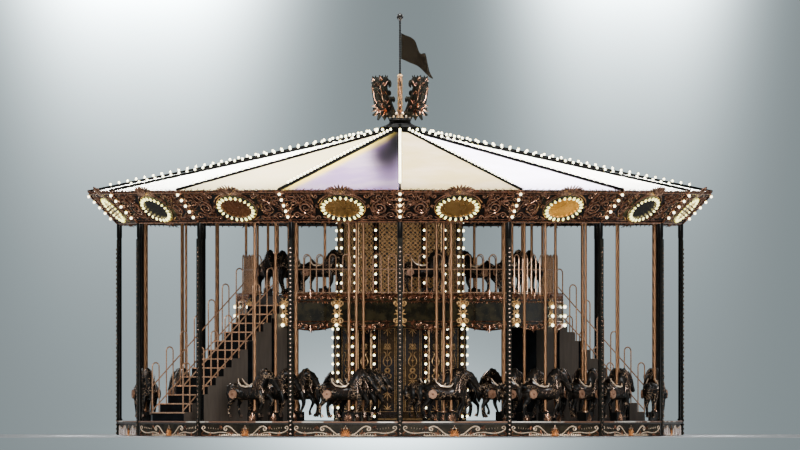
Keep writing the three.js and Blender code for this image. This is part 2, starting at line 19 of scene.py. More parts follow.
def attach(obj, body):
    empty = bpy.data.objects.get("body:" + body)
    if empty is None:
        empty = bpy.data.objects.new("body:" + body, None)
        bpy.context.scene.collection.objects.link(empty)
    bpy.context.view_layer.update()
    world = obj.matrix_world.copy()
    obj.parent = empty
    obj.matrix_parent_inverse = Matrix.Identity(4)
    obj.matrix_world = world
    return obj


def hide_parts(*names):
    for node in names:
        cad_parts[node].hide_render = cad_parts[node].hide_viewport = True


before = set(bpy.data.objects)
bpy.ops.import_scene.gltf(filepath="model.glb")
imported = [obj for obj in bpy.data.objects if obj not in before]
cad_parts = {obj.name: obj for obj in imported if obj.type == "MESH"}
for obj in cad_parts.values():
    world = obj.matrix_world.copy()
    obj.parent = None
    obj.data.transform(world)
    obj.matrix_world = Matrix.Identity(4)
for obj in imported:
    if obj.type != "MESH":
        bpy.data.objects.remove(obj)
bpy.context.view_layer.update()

LOG = logging.getLogger("carousel")

SIDES = 16
SECTOR = 2 * math.pi / SIDES
APOTHEM = math.cos(SECTOR / 2)
CORNERS = [float(k) for k in range(SIDES)]
MIDDLES = [k + 0.5 for k in CORNERS]
STAIR_SECTORS = (-2.5, 5.5)
RIGHT_HALF = [-1.5 + k for k in range(7)]
LEFT_HALF = [sector + SIDES / 2 for sector in RIGHT_HALF]
BOTH_HALVES = RIGHT_HALF + LEFT_HALF
HALVES = {"right": RIGHT_HALF, "left": LEFT_HALF}
FLOOR = 0.32
UPPER_FLOOR = 2.96
RIDE = "carousel"

Piece = bpy.types.Object
Spot = tuple[float, float]
Point = tuple[float, float, float]
Colour = tuple[float, float, float]


class Camera:
    """The camera at the photograph's viewing angle, far away so that it hardly converges."""

    PIXEL = 0.0212
    WIDTH_PIXELS = 800
    CENTRE_HEIGHT = 4.473
    EYE_HEIGHT = 1.4
    LENS = 950.0
    SENSOR = 36.0

    def place(self) -> None:
        """Adds the camera, close above the ground and nearly level, looking along +Y."""
        distance = self.PIXEL * self.WIDTH_PIXELS * self.LENS / self.SENSOR
        eye = Vector((0, -distance, self.EYE_HEIGHT))
        aim = Vector((0, 0, self.CENTRE_HEIGHT)) - eye
        bpy.ops.object.camera_add(location=eye, rotation=aim.to_track_quat("-Z", "Y").to_euler())
        camera = bpy.context.object
        camera.data.lens = self.LENS
        camera.data.sensor_width = self.SENSOR
        camera.data.clip_start = distance * 0.5
        camera.data.clip_end = distance * 1.6
        bpy.context.scene.camera = camera


Camera().place()


def sum_method(operation: str, swapped: bool = False) -> Callable[..., "Link"]:
    """A method of Link that feeds one Math node.

    Args:
        operation: The node's operation.
        swapped: Whether the link itself comes last.

    Returns:
        The method, which gives the node's result.
    """
    def method(self: "Link", *others: "Link | float") -> "Link":
        """Feeds the node and returns its result."""
        values = (*others, self) if swapped else (self, *others)
        return self.shader.node("ShaderNodeMath", {"operation": operation}, dict(enumerate(values)))

    return method


class Link:
    """A shader socket that can be used in Python sums."""

    def __init__(self, shader: "Shader", socket: bpy.types.NodeSocket) -> None:
        """Wraps one output socket of a shader's tree."""
        self.shader = shader
        self.socket = socket

    __add__ = __radd__ = sum_method("ADD")
    __mul__ = __rmul__ = sum_method("MULTIPLY")
    __sub__ = sum_method("SUBTRACT")
    __rsub__ = sum_method("SUBTRACT", swapped=True)
    __pow__ = sum_method("POWER")
    sine = sum_method("SINE")
    absolute = sum_method("ABSOLUTE")
    exponent = sum_method("EXPONENT")

    def pool(self, middle: float, width: float, power: float = 2.0) -> "Link":
        """A soft hump of height 1 about a middle."""
        off = ((self - middle) * (1 / width)).absolute()
        return (off ** power * -1.0).exponent()

    def above(self, edge: float, width: float) -> "Link":
        """A soft step from 0 to 1 that is half way at the edge."""
        inputs = {0: self, 1: edge - width / 2, 2: edge + width / 2, 3: 0.0, 4: 1.0}
        return self.shader.node("ShaderNodeMapRange", {"interpolation_type": "SMOOTHSTEP"}, inputs)

    def below(self, edge: float, width: float) -> "Link":
        """A soft step from 1 to 0 that is half way at the edge."""
        return 1.0 - self.above(edge, width)


class Shader:
    """One node material under construction."""

    def __init__(self, name: str) -> None:
        """Starts a material that holds one Principled surface.

        Args:
            name: The material's name.
        """
        self.material = bpy.data.materials.new(name)
        self.material.use_nodes = True
        self.tree = self.material.node_tree
        self.surface = self.tree.nodes["Principled BSDF"]

    def node(
        self,
        kind: str,
        settings: dict[str, object] | None = None,
        inputs: dict[int | str, object] | None = None,
        output: int | str = 0,
    ) -> Link:
        """Adds any node.

        Args:
            kind: The node's type name.
            settings: Its properties; "stops" fills a colour ramp with (place, colour) pairs.
            inputs: Values or links for its sockets, by number or name.
            output: The socket that is wanted.

        Returns:
            That output socket.
        """
        node = self.tree.nodes.new(kind)
        for key, value in (settings or {}).items():
            if key == "stops":
                self._fill_ramp(node.color_ramp, value)
            else:
                setattr(node, key, value)
        for key, value in (inputs or {}).items():
            self.feed(node.inputs[key], value)
        return Link(self, node.outputs[output])

    @staticmethod
    def _fill_ramp(ramp: bpy.types.ColorRamp, stops: Sequence[tuple[float, Colour]]) -> None:
        """Sets the stops of a colour ramp.

        Args:
            ramp: The ramp.
            stops: A place and a colour for each stop.
        """
        while len(ramp.elements) < len(stops):
            ramp.elements.new(1.0)
        for element, (place, colour) in zip(ramp.elements, stops):
            element.position = place
            element.color = (*colour, 1.0)

    def feed(self, socket: bpy.types.NodeSocket, value: object) -> None:
        """Links or sets one input socket.

        Args:
            socket: The input socket.
            value: A link, or a value or colour to set.
        """
        if isinstance(value, Link):
            self.tree.links.new(value.socket, socket)
        elif isinstance(value, tuple) and len(value) == 3 and len(socket.default_value) == 4:
            socket.default_value = (*value, 1.0)
        else:
            socket.default_value = value

    def set(self, **values: object) -> "Shader":
        """Sets the surface's sockets, named with underscores for blanks.

        Args:
            values: A link, value or colour for each socket.

        Returns:
            The shader itself.
        """
        for key, value in values.items():
            self.feed(self.surface.inputs[key.replace("_", " ")], value)
        return self

    def place(self, scale: Point = (1, 1, 1)) -> Link:
        """Object coordinates times a scale."""
        objects = self.node("ShaderNodeTexCoord", output="Object")
        return self.node("ShaderNodeMapping", None, {"Vector": objects, "Scale": scale})

    def noise(self, scale: float, detail: float = 3.0, stretch: Point = (1, 1, 1)) -> Link:
        """A cloudy value from 0 to 1 in object space.

        Args:
            scale: The clouds' scale.
            detail: How fine they are.
            stretch: A factor for each direction.

        Returns:
            The value.
        """
        return self.node(
            "ShaderNodeTexNoise", None,
            {"Vector": self.place(stretch), "Scale": scale, "Detail": detail},
        )

    def parts(self, vector: Link) -> list[Link]:
        """The three parts of a vector."""
        node = self.node("ShaderNodeSeparateXYZ", None, {0: vector}).socket.node
        return [Link(self, output) for output in node.outputs]

    def uv(self) -> list[Link]:
        """The two parts of the piece's own UV map."""
        return self.parts(self.node("ShaderNodeUVMap"))[:2]

    def blend(self, mask: Link, low: object, high: object) -> Link:
        """A colour between two others."""
        inputs = {0: mask, 6: low, 7: high}
        return self.node("ShaderNodeMix", {"data_type": "RGBA"}, inputs, output=2)

    def dimmed(self, colour: object, factor: Link) -> Link:
        """A colour times a factor."""
        return self.node("ShaderNodeVectorMath", {"operation": "SCALE"}, {0: colour, 3: factor})

    def bump(self, height: Link, depth: float, strength: float = 1.0) -> None:
        """Feeds a height, in units of depth metres, to the surface's normal."""
        inputs = {"Height": height, "Distance": depth, "Strength": strength}
        self.set(Normal=self.node("ShaderNodeBump", None, inputs))


class Surround(Shader):
    """The world's own nodes."""

    def __init__(self, world: bpy.types.World) -> None:
        """Works on a world's tree.

        Args:
            world: The world.
        """
        world.use_nodes = True
        self.tree = world.node_tree
        self.surface = self.tree.nodes["Background"]


@dataclass(frozen=True)
class Recipe:
    """A finish that can be made into a material."""

    name: str

    def make(self) -> bpy.types.Material:
        """Makes the finish into a material.

        Returns:
            The material.
        """
        shader = Shader(self.name)
        self.paint(shader)
        return shader.material

    def paint(self, shader: Shader) -> None:
        """Feeds the surface."""
        raise NotImplementedError


@dataclass(frozen=True)
class WornMetal(Recipe):
    """Painted or plated metal with darker hollows and rubbed light patches."""

    dark: Colour
    light: Colour
    metallic: float = 1.0
    roughness: float = 0.3
    patch: float = 9.0
    edge: float = 0.5
    width: float = 0.35
    coat: float = 0.0
    shine: float = 0.5

    def paint(self, shader: Shader) -> None:
        """Feeds the surface.

        Args:
            shader: The material.
        """
        cloud = shader.noise(self.patch, 5.0)
        fine = shader.noise(self.patch * 14, 2.0)
        mask = cloud.above(self.edge, self.width)
        shader.set(
            Base_Color=shader.blend(mask, self.dark, self.light),
            Metallic=self.metallic,
            Roughness=self.roughness + fine * 0.16 - 0.08 - mask * 0.05,
            Coat_Weight=self.coat,
            Coat_Roughness=0.08,
            Specular_IOR_Level=self.shine,
        )
        shader.bump(fine + cloud * 0.6, 0.0012, 0.35)


@dataclass(frozen=True)
class SpiralBrass(Recipe):
    """Polished tube with a rope twist pressed into it, along the piece's UV map."""

    dark: Colour
    light: Colour
    turns: float = 4.0

    def paint(self, shader: Shader) -> None:
        """Feeds the surface.

        Args:
            shader: The material.
        """
        round_way, along = shader.uv()
        twist = ((round_way * self.turns + along) * (2 * math.pi)).sine() * 0.5 + 0.5
        tone = shader.noise(3.0, 3.0).above(0.5, 0.5)
        shader.set(
            Base_Color=shader.blend(twist * 0.75 + tone * 0.25, self.dark, self.light),
            Metallic=0.7,
            Roughness=0.36 + tone * 0.12,
        )
        shader.bump(twist, 0.004, 0.6)


@dataclass(frozen=True)
class Lacquer(Recipe):
    """Deep glossy lacquer with a faint cloud of tint."""

    base: Colour
    tint: Colour
    roughness: float = 0.22
    metallic: float = 0.0
    coat: float = 0.25
    thread: Colour = (0.0, 0.0, 0.0)

    def paint(self, shader: Shader) -> None:
        """Feeds the surface.

        Args:
            shader: The material.
        """
        cloud = shader.noise(5.0, 4.0)
        strokes = shader.noise(60.0, 3.0, (1.0, 1.0, 0.3))
        painted = shader.blend(cloud.above(0.52, 0.3), self.base, self.tint)
        if any(self.thread):
            lines = 1.0 - (shader.noise(13.0, 1.0) - 0.5).absolute().above(0.018, 0.02)
            painted = shader.blend(lines * shader.noise(4.0).above(0.53, 0.08), painted, self.thread)
        shader.set(
            Base_Color=painted,
            Metallic=self.metallic,
            Roughness=self.roughness + strokes * 0.14 - 0.05,
            Specular_IOR_Level=self.coat,
            Coat_Weight=self.coat,
            Coat_Roughness=0.06,
        )
        shader.bump(strokes, 0.0015, 0.3)


@dataclass(frozen=True)
class Panelling(Recipe):
    """Satin boards with an upright grain."""

    base: Colour
    light: Colour
    metallic: float = 0.2
    roughness: float = 0.42

    def paint(self, shader: Shader) -> None:
        """Feeds the surface.

        Args:
            shader: The material.
        """
        grain = shader.noise(18.0, 5.0, (1.0, 1.0, 0.12))
        scuffs = shader.noise(3.2, 4.0)
        shader.set(
            Base_Color=shader.blend(grain.above(0.5, 0.6), self.base, self.light),
            Metallic=self.metallic,
            Roughness=self.roughness + scuffs * 0.2 - 0.1,
        )
        shader.bump(grain + scuffs * 0.5, 0.002, 0.4)


@dataclass(frozen=True)
class Cloth(Recipe):
    """Woven cloth in bolts of slightly different dye; the weave follows the UV map."""

    bolts: tuple[Colour, ...]
    stain: Colour
    threads: float
    roughness: float = 0.75
    sheen: float = 0.2
    # How strongly a painted strip of warm bulb light is blended into the colour beside one rib.
    painted_bulb_light: float = 0.0

    def paint(self, shader: Shader) -> None:
        """Feeds the surface.

        Args:
            shader: The material.
        """
        across, along = shader.uv()
        wave = self.threads * 2 * math.pi
        weave = (across * wave).sine() * (along * wave).sine()
        marks = shader.noise(1.1, 5.0).above(0.56, 0.4)
        stops = [(i / len(self.bolts), bolt) for i, bolt in enumerate(self.bolts)]
        settings = {"stops": stops}
        dyed = shader.node("ShaderNodeValToRGB", settings, {0: across * (1 / len(self.bolts))})
        dyed.socket.node.color_ramp.interpolation = "CONSTANT"
        stained = shader.blend(marks * 0.3, dyed, self.stain)
        # Painted light: a warm strip of bulb light blended into the canvas colour beside one rib.
        lit = shader.blend(self.painted_bulb_light_mask(shader) * self.painted_bulb_light, stained, (0.42, 0.3, 0.03))
        shader.set(
            # The canvas colour is darkened by a painted shadow of the crown foot near the top of the front.
            Base_Color=shader.dimmed(lit, (self.painted_crown_shadow(shader) * -4.2).exponent()),
            Roughness=self.roughness + marks * 0.08,
            Sheen_Weight=self.sheen,
            Specular_IOR_Level=0.02,
        )
        shader.bump(weave * 0.5 + shader.noise(7.0, 2.0), 0.002, 0.35)

    def painted_crown_shadow(self, shader: Shader) -> Link:
        """A mask for a painted shadow: a soft dark smudge on the front of the roof, left of the middle near
        the top, standing in for the crown foot's shadow and reflection.

        Args:
            shader: The material.

        Returns:
            The mask.
        """
        across, deep, _ = shader.parts(shader.place())
        smudge = across.pool(-0.3, 0.26) * deep.pool(-2.6, 1.2) * 0.6
        smudge += across.pool(-0.05, 0.17) * deep.pool(-1.3, 1.2) * 1.1
        smudge += across.pool(-0.22, 0.3) * deep.pool(-3.6, 2.4) * 0.4
        return smudge * across.below(0.0, 0.02) * deep.below(-0.2, 0.1)

    def painted_bulb_light_mask(self, shader: Shader) -> Link:
        """A mask for a painted strip of warm bulb light along the right side of the rib left of the middle.

        Args:
            shader: The material.

        Returns:
            The mask.
        """
        across, deep, _ = shader.parts(shader.place())
        off = across * math.cos(SECTOR) - deep * math.sin(SECTOR)
        strip = off.pool(0.05, 0.2, 3.0) * off.above(0.0, 0.02)
        return strip * across.below(-0.05, 0.1) * deep.below(-0.2, 0.1)


@dataclass(frozen=True)
class Glow(Recipe):
    """Lit frosted glass of a bulb, golden near its socket; UV v runs from tip to socket."""

    glass: Colour
    socket: Colour
    strength: float

    def paint(self, shader: Shader) -> None:
        """Feeds the surface.

        Args:
            shader: The material.
        """
        height = shader.uv()[1]
        tone = shader.noise(30.0, 1.0) * 0.2
        shader.set(
            Base_Color=self.glass,
            Emission_Color=shader.blend((height + tone).above(0.74, 0.25), self.glass, self.socket),
            Emission_Strength=self.strength,
            Roughness=0.25,
        )


@dataclass(frozen=True)
class CopperMirror(Recipe):
    """Tinted mirror whose silvering has clouded."""

    tint: Colour
    cloud: Colour
    roughness: float = 0.2

    def paint(self, shader: Shader) -> None:
        """Feeds the surface.

        Args:
            shader: The material.
        """
        haze = shader.noise(2.6, 4.0).above(0.5, 0.5)
        ripples = shader.noise(9.0, 2.0)
        shader.set(
            Base_Color=shader.blend(haze, self.tint, self.cloud),
            Metallic=1.0,
            Roughness=self.roughness + haze * 0.12,
        )
        shader.bump(ripples, 0.004, 0.25)


@dataclass(frozen=True)
class Damask(Recipe):
    """Pierced gilt damask over a dark ground, along the piece's UV map."""

    ground: Colour
    gilt: Colour
    motifs: tuple[float, float]

    def paint(self, shader: Shader) -> None:
        """Feeds the surface.

        Args:
            shader: The material.
        """
        across, up = shader.uv()
        columns, rows = self.motifs
        wide, tall = (across * (columns * 2 * math.pi), up * (rows * 2 * math.pi))
        lattice = (wide.sine() * 0.9 + tall.sine() * 0.9).absolute()
        ogee = ((wide * 2.0).sine() * (tall * 2.0).sine()).absolute()
        curl = shader.noise(26.0, 3.0)
        pattern = 1.0 - lattice * 0.8 + ogee * 0.7 + curl * 0.7 - 0.35
        mask = pattern.above(0.78, 0.3)
        shader.set(
            Base_Color=shader.blend(mask, self.ground, self.gilt),
            Metallic=mask * 0.35,
            Roughness=0.6 - mask * 0.15 + curl * 0.1,
        )
        shader.bump(mask + curl * 0.2, 0.006, 0.8)


WHITE_BOLT = (0.95, 0.93, 0.84)
CREAM_BOLT = (0.37, 0.31, 0.17)
SAND_BOLT = (0.25, 0.19, 0.085)
LILAC_BOLT = (0.135, 0.085, 0.165)
PEARL_BOLT = (0.75, 0.68, 0.84)
CANVAS_BOLTS = (
    SAND_BOLT, PEARL_BOLT, WHITE_BOLT, WHITE_BOLT, CREAM_BOLT, PEARL_BOLT, CREAM_BOLT, WHITE_BOLT,
    SAND_BOLT, LILAC_BOLT, WHITE_BOLT, PEARL_BOLT, WHITE_BOLT, WHITE_BOLT, CREAM_BOLT, LILAC_BOLT,
)


class Finish(Enum):
    """The carousel's finishes, each with the record's slot that it stands for."""

    IRON = ("black_iron", WornMetal(
        "painted_iron", (0.002, 0.002, 0.0018), (0.007, 0.006, 0.0045), 0.1, 0.35, 6.0, 0.6, 0.5, 0.05, 0.15))
    MATT = ("black_iron", WornMetal(
        "matt_iron", (0.0008, 0.0008, 0.0006), (0.002, 0.0018, 0.0014), 0.0, 0.8, 6.0, 0.6, 0.5, 0.0, 0.04))
    BRONZE = ("bronze_relief", WornMetal(
        "relief_bronze", (0.025, 0.009, 0.005), (0.34, 0.136, 0.07), 0.8, 0.38, 16.0, 0.5, 0.35))
    # Bright copper for the real curls and leaf crowns. It is also used for the painted highlight lines on
    # carved ridges and crown plates.
    COPPER_AND_PAINTED_HIGHLIGHT = ("bronze_relief", WornMetal(
        "relief_veins", (0.25, 0.12, 0.07), (0.85, 0.5, 0.32), 1.0, 0.26, 20.0, 0.5, 0.35))
    DARK_GROUND = ("bronze_relief", WornMetal(
        "relief_ground", (0.003, 0.0018, 0.0012), (0.014, 0.005, 0.002), 0.4, 0.45, 14.0, 0.6, 0.3, 0.0, 0.2))
    GILT = ("gilt_lattice", WornMetal(
        "gilt_edges", (0.4, 0.24, 0.12), (1.0, 0.74, 0.44), 1.0, 0.24, 26.0, 0.5, 0.3))
    PALE_GILT = ("gilt_lattice", WornMetal(
        "pale_gilt", (0.62, 0.4, 0.25), (1.0, 0.78, 0.56), 0.35, 0.25, 20.0, 0.45, 0.3))
    CROWN = ("bronze_relief", WornMetal(
        "crown_bronze", (0.005, 0.005, 0.0035), (0.018, 0.017, 0.012), 0.2, 0.6, 9.0, 0.5, 0.4, 0.0, 0.15))
    COPPER = ("copper_tube", WornMetal(
        "tube_copper", (0.4, 0.21, 0.11), (0.78, 0.48, 0.3), 0.7, 0.3, 8.0, 0.5, 0.5))
    POLE = ("pole_brass", SpiralBrass("pole_brass", (0.12, 0.052, 0.022), (0.42, 0.215, 0.1)))
    FLOOR = ("floor_boards", Panelling("floor_planks", (0.012, 0.01, 0.008), (0.03, 0.024, 0.018)))
    # A real rim trim, painted pale as a reflection of the deck's bright grazing sheen.
    LIP = ("floor_boards", WornMetal(
        "floor_edge", (0.2, 0.1, 0.06), (0.6, 0.54, 0.46), 0.4, 0.4, 1.2, 0.55, 0.05))
    STAIR = ("stair_panels", Panelling(
        "stair_paint", (0.04, 0.029, 0.02), (0.064, 0.046, 0.032), metallic=0.0, roughness=0.6))
    RISER = ("stair_panels", Lacquer(
        "riser_lacquer", (0.002, 0.0024, 0.0028), (0.004, 0.005, 0.006), 0.5, 0.0, 0.02))
    FASCIA = ("drum_panels", Lacquer(
        "fascia_lacquer", (0.01, 0.009, 0.005), (0.036, 0.028, 0.012), 0.14, 0.3))
    CANVAS = ("roof_canvas", Cloth(
        "canvas_weave", CANVAS_BOLTS, (0.4, 0.34, 0.3), 60.0, roughness=0.8, sheen=0.0, painted_bulb_light=0.9))
    FLAG = ("flag_cloth", Cloth(
        "flag_weave", ((0.011, 0.009, 0.006),), (0.016, 0.012, 0.009), 90.0, roughness=0.9, sheen=0.0))
    HORSE = ("horse_lacquer", Lacquer(
        "horse_paint", (0.002, 0.002, 0.0016), (0.01, 0.007, 0.0045), 0.42, 0.1, 0.12, (0.4, 0.26, 0.16)))
    SADDLE = ("horse_lacquer", Lacquer(
        "saddle_leather", (0.008, 0.004, 0.002), (0.02, 0.009, 0.005), 0.3, 0.1))
    BULB = ("bulb_glass", Glow("bulb_glass", (1.0, 0.96, 0.7), (0.45, 0.36, 0.05), 7.0))
    RING_BULB = ("bulb_glass", Glow("ring_glass", (1.0, 0.96, 0.42), (0.5, 0.42, 0.02), 3.4))
    ROSETTE = ("copper_tube", WornMetal(
        "rosette_copper", (0.18, 0.085, 0.045), (0.42, 0.22, 0.13), 0.3, 0.45, 12.0, 0.45, 0.5))
    TAN = ("gilt_lattice", WornMetal(
        "tan_gilt", (0.16, 0.08, 0.03), (0.68, 0.41, 0.18), 0.5, 0.38, 24.0, 0.45, 0.4))
    PALM = ("bronze_relief", WornMetal(
        "palmette_copper", (0.4, 0.12, 0.03), (0.95, 0.4, 0.12), 0.3, 0.4, 20.0, 0.42, 0.4))
    SKIRT = ("bronze_relief", WornMetal(
        "skirt_ground", (0.01, 0.0075, 0.004), (0.032, 0.024, 0.012), 0.1, 0.5, 6.0, 0.5, 0.4, 0.0, 0.2))
    # Pale gilt for the skirt fringes on the side faces: a painted highlight.
    PAINTED_HIGHLIGHT_GILT = ("gilt_lattice", WornMetal(
        "frosted_gilt", (0.3, 0.2, 0.17), (1.0, 0.86, 0.8), 0.2, 0.3, 22.0, 0.42, 0.3))
    BEAD = ("gilt_lattice", WornMetal(
        "post_beads", (0.11, 0.07, 0.05), (0.44, 0.3, 0.22), 1.0, 0.24, 40.0, 0.5, 0.3))
    MIRROR = ("mirror_copper", CopperMirror("copper_mirror", (0.36, 0.18, 0.05), (0.26, 0.12, 0.035)))
    GOLD_MIRROR = ("mirror_copper", CopperMirror("gold_mirror", (0.85, 0.36, 0.045), (0.72, 0.3, 0.035)))
    RED_MIRROR = ("mirror_copper", CopperMirror("red_mirror", (0.11, 0.036, 0.01), (0.08, 0.025, 0.007)))
    DARK_MIRROR = ("mirror_copper", CopperMirror(
        "dark_mirror", (0.04, 0.025, 0.012), (0.02, 0.013, 0.007), 0.1))
    DRUM = ("drum_panels", WornMetal(
        "drum_lacquer", (0.02, 0.02, 0.024), (0.065, 0.038, 0.016), 0.5, 0.3, 2.2, 0.5, 0.3, 0.0, 0.3))
    DAMASK = ("gilt_lattice", Damask("gilt_damask", (0.014, 0.006, 0.0025), (0.55, 0.29, 0.1), (4.0, 20.0)))

    @property
    def slot(self) -> str:
        """The record's material slot."""
        return self.value[0]

    def material(self) -> bpy.types.Material:
        """Returns the finish's material, made on first use."""
        recipe = self.value[1]
        return bpy.data.materials.get(recipe.name) or recipe.make()


def round_axis(sector: float) -> Matrix:
    """Returns the turn that brings the front to a sector."""
    return Matrix.Rotation(sector * SECTOR, 4, "Z")


def deselect() -> None:
    """Clears the selection."""
    bpy.ops.object.select_all(action="DESELECT")


def take(piece: Piece) -> Piece:
    """Makes one object selected and active.

    Args:
        piece: The object.

    Returns:
        The same object.
    """
    deselect()
    piece.select_set(True)
    bpy.context.view_layer.objects.active = piece
    return piece


def settle(piece: Piece) -> Piece:
    """Moves an object's place into its mesh.

    Args:
        piece: The object.

    Returns:
        The same object.
    """
    take(piece)
    bpy.ops.object.transform_apply(location=True, rotation=True, scale=True)
    return piece


def moved(piece: Piece, matrix: Matrix) -> Piece:
    """Moves a mesh by a matrix.

    Args:
        piece: The object.
        matrix: The move; where it mirrors, the faces are turned over.

    Returns:
        The same object.
    """
    piece.data.transform(matrix)
    if matrix.determinant() < 0:
        piece.data.flip_normals()
    return piece


def fused(pieces: Sequence[Piece], name: str) -> Piece:
    """Joins meshes into one object.

    Args:
        pieces: The objects, which are used up.
        name: The name of the result.

    Returns:
        The joined object.
    """
    deselect()
    for piece in pieces:
        piece.select_set(True)
    bpy.context.view_layer.objects.active = pieces[0]
    if len(pieces) > 1:
        bpy.ops.object.join()
    pieces[0].name = name
    pieces[0].data.name = name
    return pieces[0]


def duplicate(piece: Piece) -> Piece:
    """Copies an object with its mesh.

    Args:
        piece: The object.

    Returns:
        The copy.
    """
    copy = piece.copy()
    copy.data = piece.data.copy()
    bpy.context.collection.objects.link(copy)
    return copy


def copied(piece: Piece, matrices: Iterable[Matrix], name: str) -> Piece:
    """Copies a mesh to several places and joins the copies.

    Args:
        piece: The model, which is used up.
        matrices: Where each copy goes.
        name: The name of the result.

    Returns:
        The joined object.
    """
    copies = [moved(duplicate(piece), matrix) for matrix in matrices]
    bpy.data.objects.remove(piece)
    return fused(copies, name)


def around(piece: Piece, sectors: Iterable[float], name: str) -> Piece:
    """Copies a front piece to a list of sectors."""
    return copied(piece, [round_axis(sector) for sector in sectors], name)


def finished(
    piece: Piece,
    finish: Finish,
    body: str = RIDE,
    stands_for: Sequence[str] = (),
    smooth: float | None = 40.0,
) -> Piece:
    """Dresses a piece and fixes it to its body.

    Args:
        piece: The object, in place.
        finish: Its finish.
        body: The body that it moves with.
        stands_for: CAD nodes that it replaces.
        smooth: The angle in degrees under which edges look round, or None for flat faces.

    Returns:
        The same object.
    """
    piece.data.materials.clear()
    piece.data.materials.append(finish.material())
    take(piece)
    if smooth is not None:
        bpy.ops.object.shade_smooth_by_angle(angle=math.radians(smooth))
    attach(piece, body)
    finish.slot
    if stands_for:
        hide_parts(*stands_for)
    LOG.info("%s: %d faces, %s", piece.name, len(piece.data.polygons), finish.name)
    return piece


def applied(piece: Piece, kind: str, **settings: object) -> Piece:
    """Adds one modifier with its settings and applies it.

    Args:
        piece: The object.
        kind: The modifier's type.
        settings: Its properties.

    Returns:
        The same object.
    """
    take(piece)
    modifier = piece.modifiers.new(kind.title(), kind)
    for key, value in settings.items():
        setattr(modifier, key, value)
    bpy.ops.object.modifier_apply(modifier=modifier.name)
    return piece


def box(low: Point, high: Point, bevel: float = 0.0) -> Piece:
    """A box between two corners, its edges rounded by a bevel.

    Args:
        low: Its lowest corner.
        high: Its highest corner.
        bevel: The width of the bevel, or 0.

    Returns:
        The box.
    """
    middle = [(a + b) / 2 for a, b in zip(low, high)]
    bpy.ops.mesh.primitive_cube_add(size=1, location=middle)
    piece = bpy.context.object
    piece.scale = [b - a for a, b in zip(low, high)]
    settle(piece)
    if bevel:
        applied(piece, "BEVEL", width=bevel, segments=2, limit_method="ANGLE")
    return piece


def weld(distance: float) -> None:
    """Joins the edited mesh's near points, turns its faces outwards and leaves edit mode.

    Args:
        distance: How near two points are that become one.
    """
    bpy.ops.mesh.select_all(action="SELECT")
    bpy.ops.mesh.remove_doubles(threshold=distance)
    bpy.ops.mesh.normals_make_consistent(inside=False)
    bpy.ops.object.mode_set(mode="OBJECT")


def turned(profile: Sequence[Spot], steps: int, name: str = "turned") -> Piece:
    """Spins a profile of (radius, height) points about Z.

    Args:
        profile: The points, from the bottom up.
        steps: How many sides the turned form has, with a corner at the front.
        name: The object's name.

    Returns:
        The turned object.
    """
    bpy.ops.mesh.primitive_plane_add(size=1)
    piece = bpy.context.object
    piece.name = name
    bpy.ops.object.mode_set(mode="EDIT")
    mesh = bmesh.from_edit_mesh(piece.data)
    bmesh.ops.delete(mesh, geom=mesh.verts[:], context="VERTS")
    row = [mesh.verts.new((0, -radius, height)) for radius, height in profile]
    for low, high in zip(row, row[1:]):
        mesh.edges.new((low, high))
    bmesh.update_edit_mesh(piece.data)
    bpy.ops.mesh.select_all(action="SELECT")
    bpy.ops.mesh.spin(steps=steps, angle=2 * math.pi, center=(0, 0, 0), axis=(0, 0, 1))
    weld(1e-5)
    return piece


Stroke = tuple[list[Point], list[float]]


def even(points: Sequence[Spot], thick: float) -> Stroke:
    """A stroke of even thickness in the x-y plane."""
    return [(x, y, 0.0) for x, y in points], [thick] * len(points)


def ribbon(points: Sequence[Spot], thick: float, ends: float = 0.15) -> Stroke:
    """A stroke in the x-y plane that is thick in the middle and thin at its ends.

    Args:
        points: The centre line.
        thick: The largest radius.
        ends: The end radius as a share of the largest.

    Returns:
        The points in space and a radius for each.
    """
    last = len(points) - 1
    radii = [
        thick * (ends + (1 - ends) * math.sin(math.pi * (0.08 + 0.84 * i / last)) ** 0.8)
        for i in range(len(points))
    ]
    return [(x, y, 0.0) for x, y in points], radii


def volute(
    centre: Spot, radius: float, start: float, hand: int,
    turns: float = 1.35, tail: float = 0.8, thick: float = 0.016,
) -> Stroke:
    """A scroll: a spiral that opens out into a curved tail.

    Args:
        centre: The spiral's eye.
        radius: Its outer radius.
        start: The direction in degrees at which the spiral lets go into the tail.
        hand: 1 to unwind counter-clockwise, -1 clockwise.
        turns: How many turns the spiral has.
        tail: The tail's length as a share of the radius.
        thick: The stroke's largest radius.

    Returns:
        The stroke.
    """
    points = []
    steps = max(9, int(turns * 9))
    for i in range(steps + 1):
        share = i / steps
        angle = math.radians(start) - hand * (1 - share) * turns * 2 * math.pi
        reach = radius * (0.12 + 0.88 * share ** 0.9)
        points.append((centre[0] + reach * math.cos(angle), centre[1] + reach * math.sin(angle)))
    heading = math.radians(start) + hand * math.pi / 2
    x, y = points[-1]
    for _ in range(4):
        heading -= hand * 0.195
        x += math.cos(heading) * radius * tail * 0.375
        y += math.sin(heading) * radius * tail * 0.375
        points.append((x, y))
    return ribbon(points, thick, 0.3)


